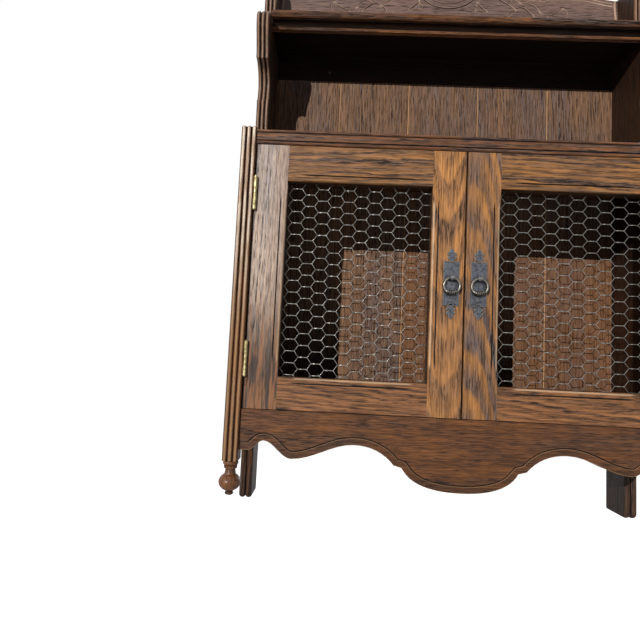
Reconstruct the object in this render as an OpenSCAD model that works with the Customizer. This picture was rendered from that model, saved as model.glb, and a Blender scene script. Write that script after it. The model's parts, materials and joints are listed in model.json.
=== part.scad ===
// Hanging curio cabinet in dark oak: an open display bay over two doors with wire nets.
// Millimetres. X runs to the right, Y into the wall and Z up. The origin lies on the wall,
// midway between the two hanging screws.

/* [Case] */
// Width over the two side panels
case_w = 631; // [610:1:660]
// Depth from the wall to the faces of the doors
case_d = 190; // [180:1:230]
// Thickness of the side panels
side_t = 20; // [17:0.5:24]
// Height of the door bay, from the apron to the underside of the display ledge
bay_h = 369; // [330:1:420]
// Height of the open bay, from the display ledge to the underside of the upper shelf
display_h = 210; // [195:1:250]
// Thickness of the cabinet floor
floor_t = 18; // [12:0.5:20]
// Depth of the housings that take the ends of the floor, the ledge and the shelf
housing_d = 6; // [3:0.5:8]
// Shoulder above and below the tongues that lie in the housings
shoulder_t = 3; // [2:0.5:5]

/* [Side panels] */
// Depth of the leg at the wall
leg_d = 53; // [45:1:70]
// Length of the leg below the doors
leg_drop = 157; // [130:1:190]
// Radius of the rounded front corner of the foot
foot_r = 9; // [4:0.5:14]
// Drop of the panel's bottom edge below the doors
skirt_drop = 50; // [40:1:54]
// Radius of the sweep between the bottom edge and the leg
sweep_r = 45; // [30:1:55]
// Depth of the panel where it rises from the display ledge
arm_d = 94; // [85:1:105]
// Forward swell of the panel up to its lower point
arm_swell = 6; // [3:0.5:9]
// Height of the lower point above the display ledge
point_z = 93; // [80:1:100]
// Height of the cove above the display ledge
cove_z = 112; // [105:1:118]
// Depth of the cove from front to back
cove_w = 30; // [24:1:34]
// Height of the cove
cove_h = 33; // [28:1:38]
// Step from the cove to the shoulder above it
cove_step = 4; // [2:0.5:6]
// Forward sweep of the shoulder
shoulder_w = 16; // [10:1:20]
// Radius of the top of the shoulder
shoulder_r = 15; // [10:0.5:18]
// Height of the shoulder above the underside of the upper shelf
shoulder_rise = 7; // [4:0.5:12]
// Depth of the tail beside the crest
tail_d = 79; // [72:1:84]
// Radius of the sweep from the shoulder into the tail
tail_sweep_r = 30; // [20:1:36]
// Height of the tail above the upper shelf
tail_h = 103; // [95:1:120]
// Radius of the top of the tail
tail_r = 27; // [15:1:35]
// Width of the grooves between the reeds
reed_gap = 1.4; // [0.8:0.1:2]
// Depth of the grooves between the reeds
reed_depth = 1.8; // [0.8:0.1:2.5]

/* [Pilasters and finials] */
// Width of the pilasters
pilaster_w = 21.5; // [18:0.5:26]
// Depth of the pilasters
pilaster_d = 25; // [20:0.5:30]
// How far the pilasters stand in front of the doors
pilaster_proud = 5; // [3:0.5:6]
// How far the pilasters rise above the display ledge
pilaster_rise = 3; // [1:0.5:8]
// Drop of the pilasters below the doors
pilaster_drop = 69.4; // [62:0.1:80]
// Diameter of the collar of the finial
collar_d = 21; // [16:0.5:21]
// Height of the collar of the finial
collar_h = 7.2; // [5:0.1:9]
// Diameter of the neck of the finial
neck_d = 13.4; // [10:0.1:16]
// Diameter of the ball of the finial
ball_d = 30; // [24:0.5:32]
// Height of the ball of the finial
ball_h = 24.5; // [20:0.5:28]
// Diameter of the button under the ball
button_d = 12; // [8:0.5:14]
// Height of the button under the ball
button_h = 6.5; // [4:0.5:9]
// Diameter of the turned tenon on the finial
dowel_d = 10; // [8:0.5:12]
// Length of the turned tenon on the finial
dowel_l = 16; // [10:1:25]

/* [Ledge, shelf and crest] */
// Thickness of the display ledge
ledge_t = 21; // [18:0.5:26]
// Projection of the moulded edge of the ledge in front of the doors
ledge_proud = 1.5; // [0.5:0.5:3]
// Height of the bead along the top of the ledge
top_bead = 4; // [3:0.1:5]
// Height of the bead along the bottom of the ledge
low_bead = 4.8; // [3:0.1:6]
// Thickness of the upper shelf
shelf_t = 20; // [16:0.5:24]
// Depth of the upper shelf and its nosing, from the wall
shelf_d = 124; // [115:1:130]
// Depth of the nosing moulding
nosing_w = 20; // [18:0.5:26]
// Height of the round edge of the nosing
nosing_round = 12; // [8:0.5:13]
// Drop of the nosing below the underside of the upper shelf
nosing_drop = 6.3; // [4:0.1:9]
// Height of the fillet along the bottom of the nosing
nosing_fillet = 4.8; // [3:0.1:6]
// Thickness of the crest
crest_t = 20; // [12:0.5:22]
// Drop of the ends of the crest below the tops of the tails
crest_end_drop = 5; // [2:0.5:15]
// Rise of the crest from its ends to its centre
crest_rise = 77; // [50:1:100]
// Half width of the arch in the middle of the crest
crest_arch_w = 165; // [130:1:190]
// Rise of the ears between the arch and the ends of the crest
ear_rise = 9; // [4:0.5:14]

/* [Apron] */
// Thickness of the apron
apron_t = 20; // [15:0.5:22]
// Drop of the apron below the doors at its ends
apron_end = 54.5; // [50:0.5:60]
// Drop of the apron below the doors at its centre
apron_drop = 97; // [88:1:110]
// Half width of the centre lobe of the apron
lobe_w = 77; // [68:1:84]
// Width of the cusps beside the centre lobe
cusp_w = 11; // [6:0.5:16]
// Drop of the cusps below the doors
cusp_drop = 65; // [60:0.5:72]
// Distance of the high points beside the centre lobe from the middle
crown_x = 141; // [125:1:155]
// Drop of the apron below the doors at its high points
crown_drop = 41; // [34:0.5:46]
// Distance of the outer lobes from the pilasters
trough_in = 70; // [64:1:80]
// Drop of the outer lobes below the doors
trough_drop = 63.5; // [56:0.5:70]
// Distance of the outer high points from the pilasters
peak_in = 32.5; // [28:0.5:38]
// Width of the level ends of the apron
apron_flat = 12; // [6:0.5:16]
// Width of the routed border along the scalloped edge
border_w = 11; // [8:0.5:12]
// Depth of the routed border
border_depth = 0.8; // [0.4:0.1:1.2]
// Width of the quirk that closes the border
border_quirk_w = 1.6; // [1:0.1:2.5]
// Depth of the quirk that closes the border
border_quirk_d = 2; // [1.4:0.1:3]

/* [Back] */
// Thickness of the back boards
board_t = 10; // [8:0.5:11]
// Gap between the wall and the back boards
board_gap = 5; // [4:0.5:8]
// Length of the tongues on the back boards
tongue_l = 5; // [3:0.5:7]
// Thickness of the tongues on the back boards
tongue_t = 3; // [2.4:0.1:3.5]
// Width of the bevels along the joints of the back boards
joint_bevel = 1.2; // [0.6:0.1:1.8]
// Width of the rebates that take the back in the side panels
rebate_w = 8.5; // [6:0.5:10]
// Height of the hanging rail below the upper shelf
rail_drop = 34; // [30:1:40]
// Height of the hanging rail above the upper shelf
rail_rise = 60; // [40:1:70]
// Height of the lip that laps behind the back boards
rail_lip = 10; // [6:1:12]
// Drop of the hanging screws below the underside of the upper shelf
screw_drop = 17; // [12:0.5:22]
// Distance between the two hanging screws
screw_pitch = 406.4; // [300:0.1:480]
// Diameter of the holes for the hanging screws
screw_d = 5.5; // [4:0.1:7]

/* [Doors] */
// Thickness of the doors
door_t = 20; // [18:0.5:22]
// Width of the stiles
stile_w = 45.5; // [40:0.5:52]
// Width of the top rails
top_rail_w = 50.6; // [44:0.2:58]
// Width of the bottom rails
bottom_rail_w = 44.7; // [40:0.1:54]
// Gap above and below the doors
door_gap = 0.8; // [0.6:0.1:2]
// Gap between each door and its pilaster
hinge_gap = 1.5; // [1.5:0.1:1.9]
// Gap between the two doors
meeting_gap = 2.5; // [2.2:0.1:4]
// Length of the tenons on the rails
tenon_l = 25; // [15:1:30]
// Thickness of the tenons on the rails
tenon_t = 6; // [5:0.5:7]
// Shoulder of the tenons at each edge of the rail
tenon_shoulder = 10; // [9.5:0.5:13]
// Distance of the bead's quirk from the edge of the opening
quirk_in = 8.6; // [7:0.1:11]
// Width of the quirk
quirk_w = 1.8; // [1:0.1:2.5]
// Depth of the quirk
quirk_depth = 1.8; // [1:0.1:2.5]
// Radius of the bead along the opening
bead_r = 4; // [2.5:0.5:5]
// Distance from the corners at which the bead stops
bead_stop = 17; // [10:1:25]

/* [Wire nets] */
// Width of the rebate behind each opening
net_rebate_w = 8; // [6:0.5:9]
// Depth of the rebate behind each opening
net_rebate_d = 6; // [5:0.5:6.5]
// Distance between the columns of gaps
net_col = 18.17; // [17:0.01:22]
// Distance between the rows of gaps
net_row = 16.33; // [16:0.01:20]
// Length of the twisted sides of the gaps
twist_l = 13.6; // [11:0.1:14.5]
// Width of the twisted sides of the gaps
twist_w = 1.8; // [1.4:0.1:2.4]
// Thickness of the wire
wire_d = 1.1; // [0.8:0.1:1.5]
// Clearance round the net in its rebate
net_clear = 0.5; // [0.3:0.1:1]

/* [Hinges] */
// Height of the hinges
hinge_h = 47; // [40:1:54]
// Height of the centre of the lower hinges above the bottom of the door bay
low_hinge_z = 68; // [50:1:90]
// Drop of the centre of the upper hinges below the top of the door bay
top_hinge_z = 71.5; // [50:0.5:90]
// Radius of the barrel
barrel_r = 2.25; // [2:0.05:2.25]
// Radius of the pin
pin_r = 1.2; // [0.9:0.05:1.3]
// Running clearance of the pin
pin_clear = 0.05; // [0.02:0.01:0.08]
// Gap between the knuckles
knuckle_gap = 0.3; // [0.2:0.05:0.6]
// Distance of the barrel's axis from the pilaster
barrel_x = 2.5; // [2.5:0.05:2.6]
// Distance of the barrel's axis in front of the doors
barrel_y = 3.5; // [3.2:0.1:4]
// Thickness of the leaves
leaf_t = 1; // [0.8:0.05:1]
// Depth to which the leaves are let into the wood
leaf_in = 0.5; // [0.4:0.05:0.6]
// Depth of the leaves from the front of the doors
leaf_w = 14; // [12:0.5:15]
// Radius of the hinge screws
hinge_screw_r = 1.4; // [1.1:0.1:1.6]
// Length of the hinge screws
hinge_screw_l = 9; // [6:0.5:12]

/* [Pulls and catches] */
// Distance of the handle plates from the middle of the cabinet
pull_x = 18.7; // [18:0.1:20]
// Height of the centre of the handle plates above the bottom of the door bay
pull_z = 182.5; // [160:0.5:210]
// Width of the handle plates
plate_w = 21.5; // [19:0.5:23]
// Height of the handle plates between their finials
plate_h = 61; // [52:1:70]
// Length of each leaf finial of the handle plates
plate_leaf = 19; // [17:0.5:22]
// Thickness of the handle plates
plate_t = 1.6; // [1.2:0.1:2]
// Radius through the middle of the drop ring
ring_r = 10.8; // [10:0.1:12]
// Radius of the bar of the drop ring
ring_bar_r = 1.7; // [1.4:0.1:1.8]
// Radius of the swollen grip of the drop ring
ring_grip_r = 2.6; // [2.2:0.1:2.8]
// Height of the ring's pivot above the centre of the plate
ring_pivot_z = 7; // [5:0.5:9]
// Radius of the eye of the post
eye_r = 4; // [3.8:0.1:4.3]
// Width of the eye of the post
eye_w = 5; // [4:0.1:5.4]
// Clearance of the ring in the eye
eye_clear = 0.7; // [0.6:0.05:0.8]
// Radius of the shank of the post
shank_r = 2.2; // [1.8:0.1:2.6]
// Length of the shank in the door
shank_l = 12; // [8:1:12]
// Drop of the plate's nail below the centre of the plate
nail_drop = 23; // [18:0.5:26]
// Radius of the head of the plate's nail
nail_r = 1.8; // [1.4:0.1:2.4]
// Length of the plate's nail under its head
nail_l = 10; // [6:0.5:14]
// Width of the catches
catch_w = 34; // [26:1:40]
// Height of the catches
catch_h = 14; // [11:0.5:16]
// Depth of the catches
catch_d = 13; // [10:0.5:18]
// Thickness of the strike plates
strike_t = 1.2; // [0.8:0.1:1.6]
// Gap between the strike plates and the catches
strike_gap = 0.4; // [0.3:0.1:0.8]

/* [Hidden] */
$fn = 48;

// Small overlap for cuts, and the clearance of glued joints
eps = 0.1;
fit_gap = 0.1;

oak = "#5a3d26";
dark_oak = "#3f2a1c";
door_oak = "#7a5030";
brass = "#b08d4a";
iron = "#5c5f61";
steel = "#9a9c9d";

// Widths
half_out = case_w / 2;
half_in = half_out - side_t;
back_half = half_in + rebate_w;
board_pitch = 2 * back_half / 5;
board_count = 5;

// Depths
face_y = -case_d;
pilaster_y = face_y - pilaster_proud;
side_front_y = pilaster_y + pilaster_d;
back_y = -(board_gap + board_t);
shelf_front_y = nosing_w - shelf_d;
crest_y = back_y - crest_t;

// Heights
hang_z = bay_h + ledge_t + display_h - screw_drop;
base_z = -hang_z;
floor_z = base_z - floor_t;
ledge_z = base_z + bay_h;
ledge_top = ledge_z + ledge_t;
shelf_z = ledge_top + display_h;
shelf_top = shelf_z + shelf_t;
rail_z = shelf_z - rail_drop;
rail_top = shelf_top + rail_rise;
leg_z = base_z - leg_drop;
skirt_z = base_z - skirt_drop;
shoulder_z = shelf_z + shoulder_rise;
tail_z = shelf_top + tail_h;
crest_end_z = tail_z - crest_end_drop;

// Doors, all for the left door
door_x0 = -(half_in - hinge_gap);
door_x1 = -meeting_gap / 2;
door_z0 = base_z + door_gap;
door_z1 = ledge_z - door_gap;
open_x0 = door_x0 + stile_w;
open_x1 = door_x1 - stile_w;
open_z0 = door_z0 + bottom_rail_w;
open_z1 = door_z1 - top_rail_w;
door_back = face_y + door_t;
net_y = door_back - net_rebate_d;

// Hinges, for the left door
axis_x = -half_in + barrel_x;
axis_y = face_y - barrel_y;
hinge_heights = [base_z + low_hinge_z, ledge_z - top_hinge_z];
knuckle_h = (hinge_h - 2 * knuckle_gap) / 3;
leaf_front = axis_y + barrel_r + 2 * knuckle_gap;
leaf_back = face_y + leaf_w;
screw_y = (leaf_front + leaf_back) / 2;
screw_dz = hinge_h * 0.32;
screw_head_r = 2 * hinge_screw_r - 0.2;

// Pulls, for the left door
plate_z = base_z + pull_z;
plate_y = face_y - plate_t;
pivot_y = plate_y - eye_r;
pivot_z = plate_z + ring_pivot_z;

// Points of a quadratic curve from a to b, drawn towards c. The first point is left out.
function curve(a, c, b, n = 8) =
    [for (i = [1:n]) let (t = i / n) (1 - t) * (1 - t) * a + 2 * t * (1 - t) * c + t * t * b];

// The same line, moved to the left of its own direction. In tight bends, where the moved
// line would cross itself, it turns a sharp corner.
function inset(line, distance) = let (
        last = len(line) - 1,
        moved = [for (i = [0:last]) let (
            run = line[min(i + 1, last)] - line[max(i - 1, 0)],
            along = run / norm(run)
        ) line[i] + distance * [-along[1], along[0]]]
    ) [for (p = moved) if (min([for (q = line) norm(p - q)]) >= 0.999 * distance) p];

// Points of an elliptical arc about a centre, from one angle to another
function arc(centre, rx, ry, from, to, n = 10) =
    [for (i = [0:n]) let (a = from + (to - from) * i / n) centre + [rx * cos(a), ry * sin(a)]];

// Outline from left to right, made from its right half, which starts at the middle
function both_halves(half) =
    concat([for (i = [len(half) - 1:-1:1]) [-half[i][0], half[i][1]]], half);

// Points of an S-shaped curve from a to b, level at both ends. The first point is left out.
function ease(a, b, n = 8) =
    [for (i = [1:n]) a + [(b[0] - a[0]) * i / n, (b[1] - a[1]) * (1 - cos(180 * i / n)) / 2]];

// Outline of a side panel, as points of Y and Z, from the foot at the wall to the top
side_outline = let (
        cove = [-arm_d - cove_w, ledge_top + cove_z],
        step = cove + [-cove_step, cove_h],
        shoulder = [step[0] - shoulder_w, shoulder_z - shoulder_r],
        point = [-arm_d - arm_swell, ledge_top + point_z],
        tail_low = [-tail_d - tail_sweep_r, shoulder_z + tail_sweep_r]
    ) concat(
        [[0, leg_z]],
        arc([-leg_d + foot_r, leg_z + foot_r], foot_r, foot_r, 270, 180, 6),
        arc([-leg_d - sweep_r, skirt_z - sweep_r], sweep_r, sweep_r, 0, 90),
        [[side_front_y, skirt_z], [side_front_y, ledge_top]],
        [for (i = [0:8]) [-arm_d - arm_swell * sin(90 * i / 8), ledge_top + point_z * i / 8]],
        [point + [4, 0]],
        arc(cove, cove_w, cove_h, 0, 90),
        [step],
        [for (p = ease([step[1], step[0]], [shoulder[1], shoulder[0]], 10)) [p[1], p[0]]],
        arc(shoulder + [shoulder_r, 0], shoulder_r, shoulder_r, 180, 90, 8),
        arc(tail_low, tail_sweep_r, tail_sweep_r, 270, 360, 8),
        arc([-tail_d + tail_r, tail_z - tail_r], tail_r, tail_r, 180, 90, 8),
        [[0, tail_z]]);

// Stands a profile of Y and Z up and extrudes it along X from x0
module along_x(x0, length) {
    translate([x0, 0, 0])
        rotate([90, 0, 90])
            linear_extrude(length) children();
}

// Extrudes a profile of X and Z backwards along Y from y0
module along_y(y0, length) {
    translate([0, y0 + length, 0])
        rotate([90, 0, 0])
            linear_extrude(length) children();
}

module block(x0, x1, y0, y1, z0, z1) {
    translate([x0, y0, z0]) cube([x1 - x0, y1 - y0, z1 - z0]);
}

module rod_x(x0, x1, y, z, r) {
    translate([x0, y, z]) rotate([0, 90, 0]) cylinder(h = x1 - x0, r = r);
}

module rod_y(x, y0, y1, z, r) {
    translate([x, y0, z]) rotate([-90, 0, 0]) cylinder(h = y1 - y0, r = r);
}

// Tongues on both ends of a level board, from y0 to y1, or their housings
module tongues(y0, y1, z0, z1, reach = 0) {
    for (x = [-half_in - housing_d, half_in - reach])
        block(x, x + housing_d + reach, y0, y1, z0 + shoulder_t, z1 - shoulder_t);
}

module right_hand() {
    mirror([1, 0, 0]) children();
}

// Cuts a groove into the front edge of a side panel between two heights
module reed_groove(x, z0, z1) {
    along_x(x - reed_gap / 2, reed_gap)
        difference() {
            translate([side_front_y - 1, z0]) square([case_d, z1 - z0]);
            translate([reed_depth, 0]) polygon(side_outline);
        }
}

module side_panel() {
    middle = -half_in - side_t / 2;
    color(oak)
        difference() {
            along_x(-half_out, side_t) polygon(side_outline);
            block(-back_half, -half_in + eps, back_y, eps, floor_z, rail_top);
            tongues(side_front_y - eps, back_y + eps, floor_z, base_z, eps);
            tongues(side_front_y - eps, back_y + eps, ledge_z, ledge_top, eps);
            tongues(shelf_front_y, crest_y, shelf_z, shelf_top, eps);
            reed_groove(middle, leg_z - 1, skirt_z - sweep_r);
            reed_groove(middle - side_t / 6, ledge_top + 1, tail_z);
            reed_groove(middle + side_t / 6, ledge_top + 1, tail_z);
        }
}

module pilaster() {
    reed_w = pilaster_w / 3;
    color(oak)
        difference() {
            translate([-half_in - pilaster_w, 0, base_z - pilaster_drop])
                linear_extrude(pilaster_drop + bay_h + ledge_t + pilaster_rise)
                    union() {
                        translate([0, pilaster_y + reed_w / 2])
                            square([pilaster_w, pilaster_d - reed_w / 2]);
                        for (i = [0:2])
                            translate([reed_w * (i + 0.5), pilaster_y + reed_w / 2])
                                circle(d = reed_w);
                    }
            translate([-half_in - pilaster_w / 2, pilaster_y + pilaster_d / 2,
                base_z - pilaster_drop - eps])
                cylinder(h = dowel_l + eps + 1, d = dowel_d + fit_gap);
            for (z = hinge_heights) {
                block(-half_in - leaf_in, -half_in + eps, pilaster_y - eps, leaf_back,
                    z - hinge_h / 2, z + hinge_h / 2);
                for (dz = [-screw_dz, screw_dz])
                    rod_x(-half_in - hinge_screw_l - fit_gap, -half_in, screw_y, z + dz,
                        hinge_screw_r + fit_gap / 2);
            }
        }
}

// Turned drop under the pilaster, with its tenon
module finial() {
    neck_z = -collar_h - 5;
    ball_z = neck_z - 4.5 - ball_h / 2;
    color(oak)
        translate([-half_in - pilaster_w / 2, pilaster_y + pilaster_d / 2,
            base_z - pilaster_drop])
            rotate_extrude()
                polygon(concat(
                    [[0, dowel_l], [dowel_d / 2, dowel_l], [dowel_d / 2, 0]],
                    arc([collar_d / 2 - collar_h / 2, -collar_h / 2], collar_h / 2,
                        collar_h / 2, 90, -80, 10),
                    [[neck_d / 2 + 2.4, -collar_h - 0.4], [neck_d / 2 + 2, -collar_h - 3.6],
                        [neck_d / 2, -collar_h - 4], [neck_d / 2, neck_z]],
                    arc([0, ball_z], ball_d / 2, ball_h / 2, 58, -66, 16),
                    arc([0, ball_z - ball_h / 2 - button_h / 2 + 1], button_d / 2,
                        button_h / 2, 40, -90, 8)));
}

module display_ledge() {
    front = face_y - ledge_proud;
    quirk = 0.8;
    low_r = low_bead / 2;
    top_r = top_bead / 2;
    color(dark_oak)
        union() {
            along_x(-half_in, 2 * half_in)
                polygon(concat(
                    [[back_y, ledge_z]],
                    arc([front + low_r, ledge_z + low_r], low_r, low_r, 270, 90, 10),
                    [[front + low_r, ledge_z + low_bead + quirk],
                        [front + 0.6, ledge_z + low_bead + quirk],
                        [front + 0.6, ledge_top - top_bead - quirk],
                        [front + top_r, ledge_top - top_bead - quirk]],
                    arc([front + top_r, ledge_top - top_r], top_r, top_r, 270, 90, 10),
                    [[back_y, ledge_top]]));
            tongues(side_front_y, back_y, ledge_z, ledge_top);
        }
}

module cabinet_floor() {
    color(dark_oak)
        union() {
            block(-half_in, half_in, face_y + apron_t, back_y, floor_z, base_z);
            tongues(side_front_y, back_y, floor_z, base_z);
        }
}

module upper_shelf() {
    color(dark_oak)
        union() {
            block(-half_in, half_in, shelf_front_y, crest_y, shelf_z, shelf_top);
            tongues(shelf_front_y, crest_y, shelf_z, shelf_top);
        }
}

// Moulding along the front of the upper shelf: a round edge over a cove and a fillet
module shelf_nosing() {
    front = -shelf_d;
    round_r = nosing_round / 2;
    low_z = shelf_z - nosing_drop;
    cove_top = shelf_top - nosing_round - 1;
    cove_low = low_z + nosing_fillet;
    cove_r = cove_top - cove_low;
    color(dark_oak)
        along_x(-half_in, 2 * half_in)
            polygon(concat(
                [[shelf_front_y, shelf_top]],
                arc([front + round_r, shelf_top - round_r], round_r, round_r, 90, 270, 14),
                [[front + round_r + 1, shelf_top - nosing_round]],
                arc([front + round_r + 1, cove_low], cove_r, cove_r, 90, 0, 8),
                [[front + nosing_w - 8, cove_low], [front + nosing_w - 8, low_z],
                    [shelf_front_y, low_z]]));
}

// Top line of the crest, from its left end to its right end: an arch between two low ears
function crest_edge() = let (
        top = [0, crest_end_z + crest_rise],
        foot = [crest_arch_w, crest_end_z],
        ear_x = (crest_arch_w + half_in) / 2,
        half = concat(
            [top],
            ease(top, foot, 16),
            curve(foot, [foot[0] + 8, foot[1] + ear_rise], [ear_x, foot[1] + ear_rise], 6),
            ease([ear_x, foot[1] + ear_rise], [half_in, foot[1]], 8))
    ) both_halves(half);

module crest_panel() {
    color(dark_oak)
        along_y(crest_y, crest_t)
            polygon(concat(crest_edge(), [[half_in, shelf_z], [-half_in, shelf_z]]));
}

// Bottom line of the apron, from its left end to its right end
function apron_edge() = let (
        middle = [0, -apron_drop],
        lobe = [lobe_w, -cusp_drop - 3],
        cusp = [lobe_w + cusp_w, -cusp_drop],
        crown = [crown_x, -crown_drop],
        trough = [half_in - trough_in, -trough_drop],
        peak = [half_in - peak_in, -crown_drop],
        end = [half_in - apron_flat, -apron_end],
        half = concat(
            [middle],
            curve(middle, [lobe_w * 0.8, -apron_drop], lobe, 12),
            [cusp],
            curve(cusp, [cusp[0] + 20, -crown_drop], crown),
            ease(crown, trough),
            ease(trough, peak),
            ease(peak, end),
            [[half_in, -apron_end]])
    ) [for (p = both_halves(half)) p + [0, base_z]];

// Board above a line that runs from the left end of the apron to its right end
module board_above(line) {
    polygon(concat(line, [[half_in, base_z], [-half_in, base_z]]));
}

module apron() {
    edge = apron_edge();
    band_top = inset(edge, border_w - border_quirk_w);
    band = concat(edge, [for (i = [len(band_top) - 1:-1:0]) band_top[i]]);
    color(dark_oak)
        union() {
            along_y(face_y, border_quirk_d) board_above(inset(edge, border_w));
            along_y(face_y + border_depth, border_quirk_d - border_depth) polygon(band);
            along_y(face_y + border_quirk_d, apron_t - border_quirk_d) board_above(edge);
        }
}

module hanging_rail() {
    color(dark_oak)
        difference() {
            union() {
                block(-back_half, back_half, back_y, 0, rail_z, rail_top);
                block(-back_half, back_half, -board_gap, 0, rail_z - rail_lip, rail_z + eps);
            }
            for (x = [-screw_pitch / 2, screw_pitch / 2])
                rod_y(x, back_y - eps, eps, 0, screw_d / 2);
        }
}

// One back board, counted from the left. Its tongue lies in the next board's groove.
module back_board(i) {
    x0 = -back_half + board_pitch * (i - 1);
    x1 = x0 + board_pitch;
    middle = back_y + board_t / 2;
    half_tongue = tongue_t / 2;
    half_groove = half_tongue + fit_gap;
    first = i == 1;
    last = i == board_count;
    color(oak)
        translate([0, 0, floor_z])
            linear_extrude(rail_z - floor_z)
                polygon(concat(
                    [[x0 + (first ? 0 : joint_bevel), back_y],
                        [x1 - (last ? 0 : joint_bevel), back_y],
                        [x1, back_y + (last ? 0 : joint_bevel)]],
                    last ? [] : [[x1, middle - half_tongue],
                        [x1 + tongue_l, middle - half_tongue],
                        [x1 + tongue_l, middle + half_tongue], [x1, middle + half_tongue]],
                    [[x1, -board_gap], [x0, -board_gap]],
                    first ? [] : [[x0, middle + half_groove],
                        [x0 + tongue_l + fit_gap, middle + half_groove],
                        [x0 + tongue_l + fit_gap, middle - half_groove],
                        [x0, middle - half_groove], [x0, back_y + joint_bevel]]));
}

// Rebate behind the opening of the left door
module net_pocket() {
    block(open_x0 - net_rebate_w, open_x1 + net_rebate_w, net_y, door_back + eps,
        open_z0 - net_rebate_w, open_z1 + net_rebate_w);
}

// Profile that a stopped bead leaves cut away, for an edge at the origin with the wood
// on the side of positive X and the face towards negative Y
module bead_profile() {
    translate([quirk_in - quirk_w / 2, -eps]) square([quirk_w, quirk_depth + eps]);
    difference() {
        translate([-eps, -eps]) square([bead_r + eps, bead_r + eps]);
        translate([bead_r, bead_r]) circle(bead_r);
        translate([bead_r, -2 * eps]) square([bead_r, bead_r]);
        translate([-2 * eps, bead_r]) square([bead_r, bead_r]);
    }
}

// Stopped bead along an upright edge of the opening, on the left side of the opening
module upright_bead() {
    translate([open_x0, face_y, open_z0 + bead_stop])
        linear_extrude(open_z1 - open_z0 - 2 * bead_stop)
            mirror([1, 0]) bead_profile();
}

// Stopped bead along the bottom edge of the opening
module level_bead() {
    translate([open_x1 - bead_stop, face_y, open_z0])
        rotate([0, -90, 0])
            linear_extrude(open_x1 - open_x0 - 2 * bead_stop)
                mirror([1, 0]) bead_profile();
}

// Tenons at both ends of a rail that lies between two heights
module tenons(z0, z1, grow) {
    y = face_y + door_t / 2 - tenon_t / 2;
    for (x = [open_x0 - tenon_l, open_x1])
        block(x - grow, x + tenon_l + grow, y - grow / 2, y + tenon_t + grow / 2,
            z0 + tenon_shoulder - grow / 2, z1 - tenon_shoulder + grow / 2);
}

module mortises() {
    tenons(door_z0, open_z0, fit_gap);
    tenons(open_z1, door_z1, fit_gap);
}

module outer_stile() {
    color(door_oak)
        difference() {
            block(door_x0, open_x0, face_y, door_back, door_z0, door_z1);
            mortises();
            net_pocket();
            upright_bead();
            for (z = hinge_heights) {
                block(door_x0 - eps, door_x0 + leaf_in, face_y - eps, leaf_back,
                    z - hinge_h / 2, z + hinge_h / 2);
                for (dz = [-screw_dz, screw_dz])
                    rod_x(door_x0, door_x0 + hinge_screw_l + fit_gap, screw_y, z + dz,
                        hinge_screw_r + fit_gap / 2);
            }
        }
}

module inner_stile() {
    color(door_oak)
        difference() {
            block(open_x1, door_x1, face_y, door_back, door_z0, door_z1);
            mortises();
            net_pocket();
            translate([open_x0 + open_x1, 0, 0]) mirror([1, 0, 0]) upright_bead();
            rod_y(-pull_x, face_y - eps, face_y + shank_l + fit_gap, pivot_z,
                shank_r + fit_gap / 2);
            rod_y(-pull_x, face_y - eps, plate_y + nail_l + fit_gap, plate_z - nail_drop,
                nail_r / 2 + fit_gap / 2);
        }
}

module bottom_rail() {
    color(door_oak)
        difference() {
            union() {
                block(open_x0, open_x1, face_y, door_back, door_z0, open_z0);
                tenons(door_z0, open_z0, 0);
            }
            net_pocket();
            level_bead();
        }
}

module top_rail() {
    color(door_oak)
        difference() {
            union() {
                block(open_x0, open_x1, face_y, door_back, open_z1, door_z1);
                tenons(open_z1, door_z1, 0);
            }
            net_pocket();
            translate([0, 0, open_z0 + open_z1]) mirror([0, 0, 1]) level_bead();
        }
}

// Flat net of six-sided gaps, with the twisted wires level
module wire_net() {
    margin = net_rebate_w - net_clear;
    w = open_x1 - open_x0 + 2 * margin;
    h = open_z1 - open_z0 + 2 * margin;
    flat_z = net_row / 2 - twist_w / 2;
    side_l = norm([net_col - twist_l, net_row / 2]);
    mid_x = net_col - twist_l / 2 - wire_d / 2 * side_l / (net_row / 2);
    top_x = mid_x - flat_z * (net_col - twist_l) / (net_row / 2);
    columns = ceil(w / net_col / 2);
    rows = ceil(h / net_row / 2);
    color(steel)
        translate([(open_x0 + open_x1) / 2, 0, (open_z0 + open_z1) / 2])
            along_y(net_y, wire_d)
                difference() {
                    square([w, h], center = true);
                    intersection() {
                        square([w - 2 * wire_d, h - 2 * wire_d], center = true);
                        for (i = [-columns:columns], j = [-rows:rows])
                            translate([i * net_col, (j + (i % 2 == 0 ? 0 : 0.5)) * net_row])
                                polygon([[mid_x, 0], [top_x, flat_z], [-top_x, flat_z],
                                    [-mid_x, 0], [-top_x, -flat_z], [top_x, -flat_z]]);
                    }
                }
}

module net_strips() {
    w = net_rebate_w - net_clear;
    x0 = open_x0 - w;
    x1 = open_x1 + w;
    z0 = open_z0 - w;
    z1 = open_z1 + w;
    y = net_y + wire_d;
    color(door_oak)
        union() {
            block(x0, x1, y, door_back, z0, open_z0);
            block(x0, x1, y, door_back, open_z1, z1);
            block(x0, open_x0, y, door_back, open_z0 + fit_gap, open_z1 - fit_gap);
            block(open_x1, x1, y, door_back, open_z0 + fit_gap, open_z1 - fit_gap);
        }
}

// Knuckle whose lower end lies at z
module knuckle(z) {
    translate([axis_x, axis_y, z]) cylinder(h = knuckle_h, r = barrel_r);
}

module pin_bore(z) {
    translate([axis_x, axis_y, z - hinge_h / 2 - eps])
        cylinder(h = hinge_h + 2 * eps, r = pin_r + pin_clear);
}

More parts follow.
